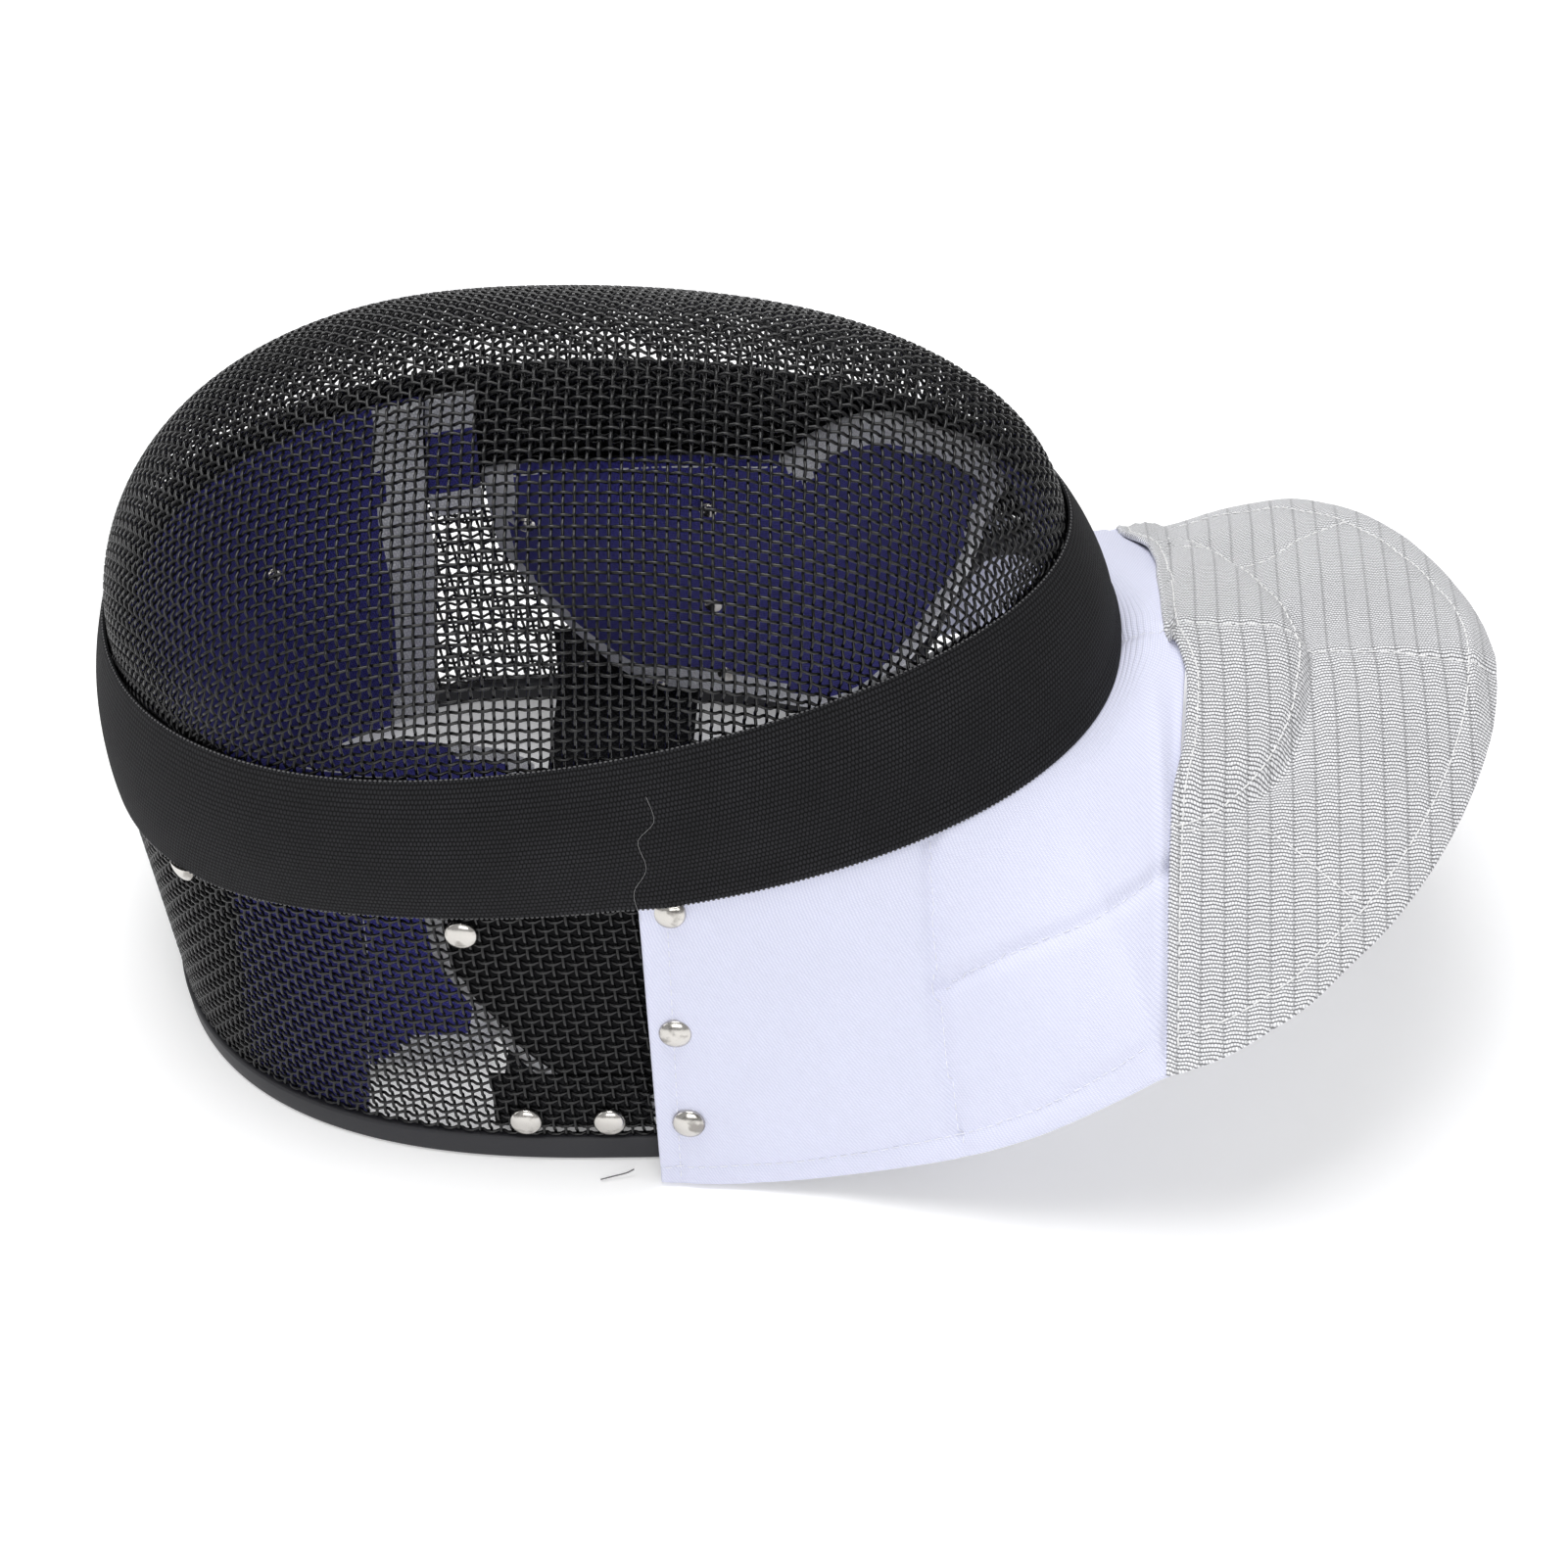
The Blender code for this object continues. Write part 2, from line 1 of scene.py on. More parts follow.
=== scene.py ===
"""Looks of a foil fencing mask that lies face up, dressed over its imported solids.

Shapes are worked out in millimetres about the middle of the wire cage: +X is the chin and the
bib, -Y the wearer's right side, +Z the way the wearer faces.  They are set down in metres.
"""
import logging
import math
from collections.abc import Callable, Sequence
from dataclasses import astuple, dataclass, field
from enum import Enum

import bpy
import numpy as np
from mathutils import Matrix, Vector
from mathutils.bvhtree import BVHTree
from numpy.typing import NDArray


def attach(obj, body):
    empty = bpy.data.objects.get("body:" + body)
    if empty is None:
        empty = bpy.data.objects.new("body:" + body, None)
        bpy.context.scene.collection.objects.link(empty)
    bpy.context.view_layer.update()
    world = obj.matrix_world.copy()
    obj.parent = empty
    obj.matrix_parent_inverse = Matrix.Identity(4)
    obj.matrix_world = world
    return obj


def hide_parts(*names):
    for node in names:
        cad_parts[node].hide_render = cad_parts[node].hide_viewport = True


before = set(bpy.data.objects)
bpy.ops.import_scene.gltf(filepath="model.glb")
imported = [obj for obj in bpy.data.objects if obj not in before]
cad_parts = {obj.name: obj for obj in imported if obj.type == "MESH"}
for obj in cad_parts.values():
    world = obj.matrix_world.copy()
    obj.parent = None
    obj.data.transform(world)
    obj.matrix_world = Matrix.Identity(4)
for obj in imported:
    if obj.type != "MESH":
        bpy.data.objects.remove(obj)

Array = NDArray[np.float64]
Whole = NDArray[np.int64]
Place = tuple[float, float, float]
Table = tuple[tuple[float, float], ...]
Material = bpy.types.Material
Socket = bpy.types.NodeSocket
Feed = Socket | float | tuple
log = logging.getLogger("fencing_mask")
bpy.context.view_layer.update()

MM = 0.001
ORIGIN_X = 56.14          # middle of the whole mask, from the middle of the cage
GAP = 0.3                 # air between pieces that touch
UP = np.array([0.0, 0.0, 1.0])
MIRROR = np.array([1.0, -1.0, 1.0])


class Slot(Enum):
    """Material slots of the part's record."""

    WIRE = "wire"
    ELASTIC = "elastic"
    TRIM = "trim"
    WHITE = "white_cloth"
    SILVER = "silver_cloth"
    LINING = "lining"
    NICKEL = "nickel"


class Side(Enum):
    """Side of the mask, as the sign of its Y."""

    RIGHT = -1
    LEFT = 1


# ------------------------------------------------------------------ small sums
def unit(vectors: Array) -> Array:
    """Vectors brought to length one."""
    return vectors / np.maximum(np.linalg.norm(vectors, axis=-1, keepdims=True), 1e-9)


def smooth(value: Array, low: float, high: float) -> Array:
    """Soft step from 0 at low to 1 at high."""
    share = np.clip((np.asarray(value, float) - low) / (high - low), 0.0, 1.0)
    return share * share * (3.0 - 2.0 * share)


def rolled(distance: Array, whole: Array | float) -> Array:
    """Thickness near a rolled edge.

    Args:
        distance: distance from the edge.
        whole: thickness away from the edge.

    Returns:
        Thickness there, falling to nothing on a round at the edge itself.
    """
    half = 0.5 * whole
    share = np.clip(distance / half, 0.0, 1.0)
    return 2.0 * (half * np.sqrt(1.0 - (1.0 - share) ** 2))


def folded(angle: Array | float) -> Array:
    """Angle from the chin, 0 to 180 on either side."""
    return np.abs((np.asarray(angle, float) + 180.0) % 360.0 - 180.0)


def bell(distance: Array, wide: Array | float) -> Array:
    """Soft bump: 1 at no distance, falling to nothing."""
    return np.exp(-(distance / wide) ** 2)


def of_cells(values: Array) -> Array:
    """Mean of each cell's four corners."""
    return 0.25 * (values[:-1, :-1] + values[1:, :-1] + values[:-1, 1:] + values[1:, 1:])


def stops(length: float, step: float, edge: float) -> Array:
    """Distances along a length, close together at both ends.

    Args:
        length: the whole length.
        step: spacing away from the ends.
        edge: how far from an end the close stops reach.

    Returns:
        Rising distances from 0 to the length.
    """
    near = edge * np.array([0.0, 0.04, 0.15, 0.35, 0.65])
    count = max(2, round((length - 2.0 * edge) / step) + 1)
    inner = np.linspace(edge, length - edge, count)
    return np.concatenate([near, inner, length - near[::-1]])


def run_length(points: Array) -> Array:
    """Distance travelled along each row of points."""
    steps = np.linalg.norm(np.diff(points, axis=-2), axis=-1)
    return np.concatenate([np.zeros(steps.shape[:-1] + (1,)), np.cumsum(steps, -1)], -1)


def smoothed(points: Array, count: int) -> Array:
    """Smooth line of evenly spaced points through a few points."""
    travelled = run_length(points)
    return Curve(travelled, points)(np.linspace(0.0, travelled[-1], count))


def resample(line: Array, step: float) -> Array:
    """Points at even distances along a line.

    Args:
        line: points of the line.
        step: wanted distance between two points.

    Returns:
        Points, both ends among them.
    """
    travelled = run_length(line)
    at = np.linspace(0.0, travelled[-1], max(2, round(travelled[-1] / step) + 1))
    return np.stack([np.interp(at, travelled, line[:, axis]) for axis in range(line.shape[1])], -1)


class Curve:
    """Smooth reading of a table that never swings past its own values."""

    def __init__(self, key: Sequence[float], values: Sequence) -> None:
        """Fit the curve.

        Args:
            key: rising key of each row.
            values: number or row of numbers for each key.
        """
        self.key = np.asarray(key, float)
        self.values = np.asarray(values, float)
        if self.values.ndim == 1:
            self.values = self.values[:, None]
        wide = np.diff(self.key)[:, None]
        chord = np.diff(self.values, axis=0) / wide
        slope = np.empty_like(self.values)
        slope[0], slope[-1] = chord[0], chord[-1]
        first, second = chord[:-1], chord[1:]
        before, after = 2.0 * wide[1:] + wide[:-1], wide[1:] + 2.0 * wide[:-1]
        same = first * second > 0.0
        with np.errstate(divide="ignore", invalid="ignore"):
            mean = (before + after) / (before / first + after / second)
        slope[1:-1] = np.where(same, mean, 0.0)
        self.slope = slope

    def __call__(self, at: Array | float) -> Array:
        """Values at the given keys, with one more axis if the table has several columns."""
        at = np.clip(np.asarray(at, float), self.key[0], self.key[-1])
        low = np.clip(np.searchsorted(self.key, at, side="right") - 1, 0, len(self.key) - 2)
        wide = (self.key[low + 1] - self.key[low])[..., None]
        t = (at - self.key[low])[..., None] / wide
        found = ((1 + 2 * t) * (1 - t) ** 2 * self.values[low]
                 + t * (1 - t) ** 2 * wide * self.slope[low]
                 + t * t * (3 - 2 * t) * self.values[low + 1]
                 + t * t * (t - 1) * wide * self.slope[low + 1])
        return found[..., 0] if found.shape[-1] == 1 else found


def sheet_normals(points: Array, towards: Array) -> Array:
    """Normals of a grid of points.

    Args:
        points: (rows, columns, 3) grid.
        towards: a direction that the middle's normal points along.

    Returns:
        Unit normals of the same shape.
    """
    normals = unit(np.cross(np.gradient(points, axis=1), np.gradient(points, axis=0)))
    middle = normals[points.shape[0] // 2, points.shape[1] // 2]
    return normals if float(middle @ towards) > 0.0 else -normals


@dataclass(frozen=True)
class Spread:
    """Distances along a grid of cloth, for every point of it."""

    across: Array
    up: Array

    @classmethod
    def of(cls, points: Array) -> "Spread":
        """Measure a grid of points."""
        return cls(run_length(points), run_length(points.swapaxes(0, 1)).T)

    @property
    def down(self) -> Array:
        """Distance from the last row."""
        return self.up[-1][None] - self.up

    @property
    def side(self) -> Array:
        """Distance from the nearer end of the row."""
        return np.minimum(self.across, self.across[:, -1:] - self.across)

    @property
    def edge(self) -> Array:
        """Distance from the nearest edge."""
        return np.minimum(np.minimum(self.side, self.up), self.down)

    @property
    def flat(self) -> Array:
        """Place of each point on the flat cloth."""
        return np.stack([self.across, self.up], -1)


def near_line(points: Array, line: Array) -> tuple[Array, Array]:
    """How far points are from a line, and how far along it.

    Args:
        points: (..., 3) points, or (..., 2) places.
        line: points of the line, with as many numbers each.

    Returns:
        Distance from the line, and distance along it, for each point.
    """
    flat = points.reshape(-1, points.shape[-1])
    best = np.full(len(flat), 1e9)
    along = np.zeros(len(flat))
    travelled = run_length(line)
    for start, end, done in zip(line, line[1:], travelled):
        edge = end - start
        length = float(np.linalg.norm(edge)) + 1e-9
        share = np.clip((flat - start) @ edge / length ** 2, 0.0, 1.0)
        away = np.linalg.norm(flat - start - share[:, None] * edge, axis=1)
        closer = away < best
        best = np.where(closer, away, best)
        along = np.where(closer, done + share * length, along)
    return best.reshape(points.shape[:-1]), along.reshape(points.shape[:-1])


# ------------------------------------------------------------------ making meshes
def quads(rows: int, columns: int, wrap: bool = False, wide: int = 0) -> Whole:
    """Corners of the cells of a grid.

    Args:
        rows: rows of points.
        columns: points in a row.
        wrap: whether each row closes on itself.
        wide: numbers in a row where they aren't shared over the join, as for flat places.

    Returns:
        (cells, 4) numbers of points.
    """
    i = np.arange(rows - 1)[:, None]
    j = np.arange(columns if wrap else columns - 1)[None, :]
    if wide:
        cell = (i * wide + j, i * wide + j + 1, (i + 1) * wide + j + 1, (i + 1) * wide + j)
    else:
        k = (j + 1) % columns
        cell = (i * columns + j, i * columns + k, (i + 1) * columns + k, (i + 1) * columns + j)
    return np.stack(np.broadcast_arrays(*cell), -1).reshape(-1, 4)


def linked(name: str, data: bpy.types.ID | None) -> bpy.types.Object:
    """New object in the scene."""
    made = bpy.data.objects.new(name, data)
    bpy.context.scene.collection.objects.link(made)
    return made


@dataclass
class Body:
    """Points and faces in cage millimetres, gathered until they become one object."""

    points: list[Array] = field(default_factory=list)
    faces: list[Whole] = field(default_factory=list)
    flats: list[Array] = field(default_factory=list)
    looks: list[Whole] = field(default_factory=list)
    count: int = 0

    def add(self, points: Array, faces: Sequence[Whole], flats: Sequence[Array] = (),
            looks: Sequence[Whole] = ()) -> None:
        """Add points with their faces.

        Args:
            points: new points, (..., 3).
            faces: arrays of corner numbers, counted from the first new point.
            flats: for each array, the flat place of each corner.
            looks: for each array, the material number of each face.
        """
        points = points.reshape(-1, 3)
        self.points.append(points)
        for number, group in enumerate(faces):
            self.faces.append(group + self.count)
            corners = group.shape + (2,)
            self.flats.append(flats[number] if len(flats) else np.zeros(corners))
            self.looks.append(looks[number] if len(looks) else np.zeros(len(group), int))
        self.count += len(points)

    def shell(self, outer: Array, out: Array, thick: Array, flat: Array, wrap: bool = False,
              looks: tuple[Array, Array] | None = None) -> None:
        """Add a cloth wall behind its outer face, drawn together at its open edges.

        Args:
            outer: (rows, columns, 3) points of the outer face.
            out: unit normals there.
            thick: thickness there, nothing on an open edge.
            flat: (rows, columns, 2) places on the flat cloth, one more column if it wraps.
            wrap: whether the rows close on themselves.
            looks: material number of each cell of the outer face and of the inner face.
        """
        rows, columns = outer.shape[:2]
        edge = np.zeros((rows, columns), bool)
        edge[0] = edge[-1] = True
        if not wrap:
            edge[:, 0] = edge[:, -1] = True
        inner = outer - out * thick[..., None]
        front = np.arange(rows * columns).reshape(rows, columns)
        back = np.where(edge, front, rows * columns - 1 + np.cumsum(~edge).reshape(rows, columns))
        cells = quads(rows, columns, wrap)
        places = flat.reshape(-1, 2)[quads(rows, columns, wrap, flat.shape[1])]
        middle = len(cells) // 2 + columns // 2
        corner = outer.reshape(-1, 3)[cells[middle]]
        facing = np.cross(corner[1] - corner[0], corner[3] - corner[0])
        if float(facing @ out.reshape(-1, 3)[cells[middle][0]]) < 0.0:
            cells, places = cells[:, ::-1], places[:, ::-1]
        behind = back.reshape(-1)[cells][:, ::-1]
        marks = [np.zeros(len(cells), int)] * 2 if looks is None else [m.reshape(-1) for m in looks]
        self.add(np.concatenate([outer.reshape(-1, 3), inner[~edge]]), [cells, behind],
                 [places, places[:, ::-1]], marks)

    def tubes(self, paths: Array, ups: Array, radius: Array | float, sides: int) -> None:
        """Add round threads or wires of the same number of points.

        Args:
            paths: (threads, points, 3) centre lines.
            ups: what lies above each point, of the same shape.
            radius: radius at each point of a thread.
            sides: flat sides round a thread.
        """
        count, long = paths.shape[:2]
        if not count:
            return
        ahead = unit(np.gradient(paths, axis=1))
        across = unit(np.cross(ahead, ups))
        rise = np.cross(across, ahead)
        turn = 2.0 * np.pi * (np.arange(sides) + 0.5) / sides
        round_it = (np.cos(turn)[:, None] * rise[:, :, None]
                    + np.sin(turn)[:, None] * across[:, :, None])
        reach = np.broadcast_to(np.asarray(radius, float), (long,))[None, :, None, None]
        points = paths[:, :, None] + reach * round_it
        first = (np.arange(count) * long * sides)[:, None, None]
        walls = (quads(long, sides, True)[None] + first).reshape(-1, 4)
        ends = np.arange(sides)[None] + first[:, 0]
        self.add(points, [walls, ends[:, ::-1], ends + (long - 1) * sides])

    def tree(self) -> BVHTree:
        """Search tree of the gathered faces, in cage millimetres."""
        faces = [face for group in self.faces for face in group.tolist()]
        return BVHTree.FromPolygons(np.concatenate(self.points).tolist(), faces)

    def rounded_shell(self, outer: Array, out: Array, whole: Array, edge: Array, flat: Array,
                      looks: tuple[Array, Array] | None = None) -> None:
        """Add a padded wall whose edges are drawn in from both faces.

        Args:
            outer: (rows, columns, 3) points of the outer face before it is drawn in.
            out: unit normals there.
            whole: thickness away from the edges.
            edge: distance from the nearest edge.
            flat: places on the flat cloth.
            looks: material number of each cell of the outer face and of the inner face.
        """
        thick = rolled(edge, whole)
        self.shell(outer - out * (0.5 * (whole - thick))[..., None], out, thick, flat, looks=looks)

    def place(self, name: str, slot: Slot, materials: Sequence[Material], sharp: float = 0.0,
              stands_for: Sequence[str] = ()) -> bpy.types.Object:
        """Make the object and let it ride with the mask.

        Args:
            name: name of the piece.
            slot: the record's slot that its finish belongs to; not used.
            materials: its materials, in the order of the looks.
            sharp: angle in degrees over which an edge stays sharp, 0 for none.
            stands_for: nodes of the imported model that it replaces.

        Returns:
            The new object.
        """
        mesh = bpy.data.meshes.new(name)
        points = (np.concatenate(self.points) - (ORIGIN_X, 0.0, 0.0)) * MM
        sizes = np.concatenate([np.full(len(group), group.shape[1]) for group in self.faces])
        corners = np.concatenate([group.reshape(-1) for group in self.faces])
        mesh.vertices.add(len(points))
        mesh.vertices.foreach_set("co", points.reshape(-1))
        mesh.loops.add(len(corners))
        mesh.loops.foreach_set("vertex_index", corners)
        mesh.polygons.add(len(sizes))
        mesh.polygons.foreach_set("loop_start", np.concatenate([[0], np.cumsum(sizes)[:-1]]))
        mesh.polygons.foreach_set("material_index", np.concatenate(self.looks))
        mesh.polygons.foreach_set("use_smooth", np.ones(len(sizes), bool))
        mesh.update(calc_edges=True)
        places = np.concatenate([group.reshape(-1) for group in self.flats])
        if places.any():
            mesh.uv_layers.new(name="flat").uv.foreach_set("vector", places)
        if sharp:
            mesh.set_sharp_from_angle(angle=math.radians(sharp))
        for material in materials:
            mesh.materials.append(material)
        made = linked(name, mesh)
        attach(made, "root")
        if stands_for:
            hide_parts(*stands_for)
        log.info("%s: %d triangles", name, int((sizes - 2).sum()))
        return made


@dataclass(frozen=True)
class Stitch:
    """One kind of sewn row."""

    pitch: float = 3.4
    length: float = 2.5
    radius: float = 0.24
    lift: float = 0.14

    def sew(self, body: Body, cloth: BVHTree, line: Array) -> None:
        """Add a row of stitches that lie on a cloth.

        Args:
            body: where the stitches are gathered.
            cloth: search tree of the cloth.
            line: points of the row.
        """
        line = resample(line, 1.0)
        travelled = run_length(line)
        starts = np.arange(0.5, travelled[-1] - self.pitch, self.pitch)
        at = starts[:, None] + self.length * np.array([0.0, 0.2, 0.8, 1.0])
        wanted = np.stack([np.interp(at, travelled, line[:, axis]) for axis in range(3)], -1)
        points, ups = seat(cloth, wanted)
        lift = np.array([-1.4, 1.0, 1.0, -1.4]) * self.lift
        body.tubes(points + ups * lift[:, None], ups, self.radius, 5)


def seat(cloth: BVHTree, wanted: Array) -> tuple[Array, Array]:
    """Nearest places on a cloth.

    Args:
        cloth: search tree of the cloth.
        wanted: (..., 3) points near it.

    Returns:
        Places on the cloth and its normals there, of the same shape.
    """
    flat = wanted.reshape(-1, 3)
    places, normals = np.empty_like(flat), np.empty_like(flat)
    for number, point in enumerate(flat.tolist()):
        place, normal, _, _ = cloth.find_nearest(point)
        places[number], normals[number] = place, normal
    return places.reshape(wanted.shape), normals.reshape(wanted.shape)


# ------------------------------------------------------------------ node trees
class Tree:
    """A node tree that is being wired."""

    def __init__(self, tree: bpy.types.NodeTree) -> None:
        """Take the tree to wire."""
        self.tree = tree

    def put(self, socket: Socket, value: Feed) -> None:
        """Feed a socket from another one, or set it to a value."""
        if isinstance(value, Socket):
            self.tree.links.new(value, socket)
        elif socket.type == "RGBA":
            socket.default_value = value[:3] + (1.0,)
        else:
            socket.default_value = value

    def add(self, kind: str, feeds: dict[str | int, Feed] | None = None,
            **settings: object) -> bpy.types.Node:
        """Add a node.

        Args:
            kind: the node's type without its "ShaderNode".
            feeds: what each input takes, by its name or number.
            settings: the node's own settings.

        Returns:
            The new node.
        """
        node = self.tree.nodes.new("ShaderNode" + kind)
        for name, value in settings.items():
            setattr(node, name, value)
        for name, value in (feeds or {}).items():
            self.put(node.inputs[name], value)
        return node

    def sum(self, operation: str, *values: Feed) -> Socket:
        """Result of a Math node."""
        return self.add("Math", dict(enumerate(values)), operation=operation).outputs[0]

    def times(self, *values: Feed) -> Socket:
        """Product of two values."""
        return self.sum("MULTIPLY", *values)

    def plus(self, *values: Feed) -> Socket:
        """Sum of two values."""
        return self.sum("ADD", *values)

    def less(self, *values: Feed) -> Socket:
        """First value less the second."""
        return self.sum("SUBTRACT", *values)

    def over(self, *values: Feed) -> Socket:
        """First value divided by the second."""
        return self.sum("DIVIDE", *values)

    def parted(self, vector: Feed) -> tuple[Socket, Socket]:
        """First two numbers of a vector."""
        return tuple(self.add("SeparateXYZ", {0: vector}).outputs[:2])

    def scaled(self, vector: Feed, amount: Feed) -> Socket:
        """Vector or colour times a number."""
        node = self.add("VectorMath", {0: vector, "Scale": amount}, operation="SCALE")
        return node.outputs[0]

    def noise(self, at: Feed, scale: Feed, detail: float = 3.0) -> Socket:
        """Noise from 0 to 1 at a place."""
        return self.add("TexNoise", {"Vector": at, "Scale": scale, "Detail": detail}).outputs[0]

    def ranged(self, value: Feed, low: Feed, high: Feed, start: Feed = 0.0,
               end: Feed = 1.0) -> Socket:
        """Value moved smoothly from one range to another."""
        feeds = {0: value, 1: low, 2: high, 3: start, 4: end}
        return self.add("MapRange", feeds, interpolation_type="SMOOTHSTEP").outputs[0]

    def blend(self, share: Feed, first: Feed, second: Feed) -> Socket:
        """Mix of two colours."""
        node = self.add("Mix", data_type="RGBA")
        for number, value in ((0, share), (6, first), (7, second)):
            self.put(node.inputs[number], value)
        return node.outputs[2]


class Effect(Enum):
    """Surface effects that more than one finish uses."""

    WEAVE = "weave"
    LINES = "lines"
    TONE = "tone"
    SCUFF = "scuff"


@dataclass(frozen=True)
class Plan:
    """Sockets of an effect and the method that draws it.

    A usual value that is a tuple of 3 is a vector and of 4 a colour.
    """

    wire: Callable[[Tree, dict[str, Socket]], dict[str, Socket]]
    inputs: dict[str, float | tuple]
    outputs: tuple[str, ...]

    def tree(self, name: str) -> bpy.types.NodeTree:
        """The effect's node group, made once."""
        made = bpy.data.node_groups.get(name)
        if made:
            return made
        made = bpy.data.node_groups.new(name, "ShaderNodeTree")
        for label, value in self.inputs.items():
            kind = {3: VECTOR, 4: COLOUR}.get(len(value) if isinstance(value, tuple) else 1, FLOAT)
            made.interface.new_socket(label, in_out="INPUT", socket_type=kind).default_value = value
        for label in self.outputs:
            kind = COLOUR if label == "Colour" else FLOAT
            made.interface.new_socket(label, in_out="OUTPUT", socket_type=kind)
        start, end = made.nodes.new("NodeGroupInput"), made.nodes.new("NodeGroupOutput")
        given = {label: start.outputs[label] for label in self.inputs}
        for label, socket in self.wire(Tree(made), given).items():
            made.links.new(socket, end.inputs[label])
        return made


FLOAT, VECTOR, COLOUR = "NodeSocketFloat", "NodeSocketVector", "NodeSocketColor"
ORIGIN = (0.0, 0.0, 0.0)


def weave(tree: Tree, given: dict[str, Socket]) -> dict[str, Socket]:
    """Crossing threads: how high the cloth stands at each place."""
    waver = tree.noise(given["Flat"], 0.35)
    waver = tree.times(tree.less(waver, 0.5), given["Waver"])
    along, upward = tree.parted(given["Flat"])
    row = tree.plus(tree.over(upward, given["Row pitch"]), waver)
    shift = tree.times(tree.sum("FLOOR", row), given["Shift"])
    column = tree.plus(tree.over(along, given["Column pitch"]), shift)
    column = tree.plus(column, waver)
    hills = [tree.sum("ABSOLUTE", tree.sum("SINE", tree.times(place, math.pi)))
             for place in (column, row)]
    hills[0] = tree.ranged(hills[0], 0.0, 1.0, given["Run"], 1.0)
    height = tree.sum("POWER", tree.times(*hills), 0.6)
    return {"Height": height, "Crown": tree.ranged(height, 0.25, 0.95)}


def lines(tree: Tree, given: dict[str, Socket]) -> dict[str, Socket]:
    """Even lines across a distance: 1 in the middle of a line, 0 between two."""
    turn = tree.sum("FRACT", tree.over(given["Distance"], given["Pitch"]))
    away = tree.times(tree.sum("ABSOLUTE", tree.less(turn, 0.5)), 2.0)
    return {"Line": tree.ranged(away, tree.less(1.0, given["Share"]), 1.0)}


def tone(tree: Tree, given: dict[str, Socket]) -> dict[str, Socket]:
    """Uneven tone: a colour and a roughness that drift over the surface."""
    broad = tree.noise(given["At"], given["Size"], 4.0)
    fine = tree.noise(given["At"], tree.times(given["Size"], 14.0), 2.0)
    drift = tree.plus(tree.times(broad, 0.6), tree.times(fine, 0.4))
    drift = tree.times(tree.less(drift, 0.5), 2.0)
    light = tree.plus(1.0, tree.times(drift, given["Spread"]))
    rough = tree.plus(given["Rough"], tree.times(drift, given["Rough spread"]))
    return {"Colour": tree.scaled(given["Colour"], light), "Rough": rough}


def scuff(tree: Tree, given: dict[str, Socket]) -> dict[str, Socket]:
    """Sparse worn or dusty places: 1 where the finish is worn."""
    spots = tree.noise(given["At"], given["Size"], 6.0)
    start = tree.less(0.8, given["Amount"])
    return {"Worn": tree.ranged(spots, start, tree.plus(start, 0.12))}


EFFECTS = {
    Effect.WEAVE: Plan(weave, {"Flat": ORIGIN, "Column pitch": 1.0, "Row pitch": 1.0, "Shift": 0.5,
                               "Waver": 0.3, "Run": 0.0}, ("Height", "Crown")),
    Effect.LINES: Plan(lines, {"Distance": 0.0, "Pitch": 1.0, "Share": 0.2}, ("Line",)),
    Effect.TONE: Plan(tone, {"At": ORIGIN, "Colour": (0.5, 0.5, 0.5, 1.0), "Size": 20.0,
                             "Spread": 0.2, "Rough": 0.5, "Rough spread": 0.1},
                      ("Colour", "Rough")),
    Effect.SCUFF: Plan(scuff, {"At": ORIGIN, "Size": 60.0, "Amount": 0.2}, ("Worn",)),
}


# ------------------------------------------------------------------ finishes
Tint = tuple[float, float, float]


def dimmed(tint: Tint) -> Tint:
    """A little darker."""
    return tuple(0.8 * part for part in tint)


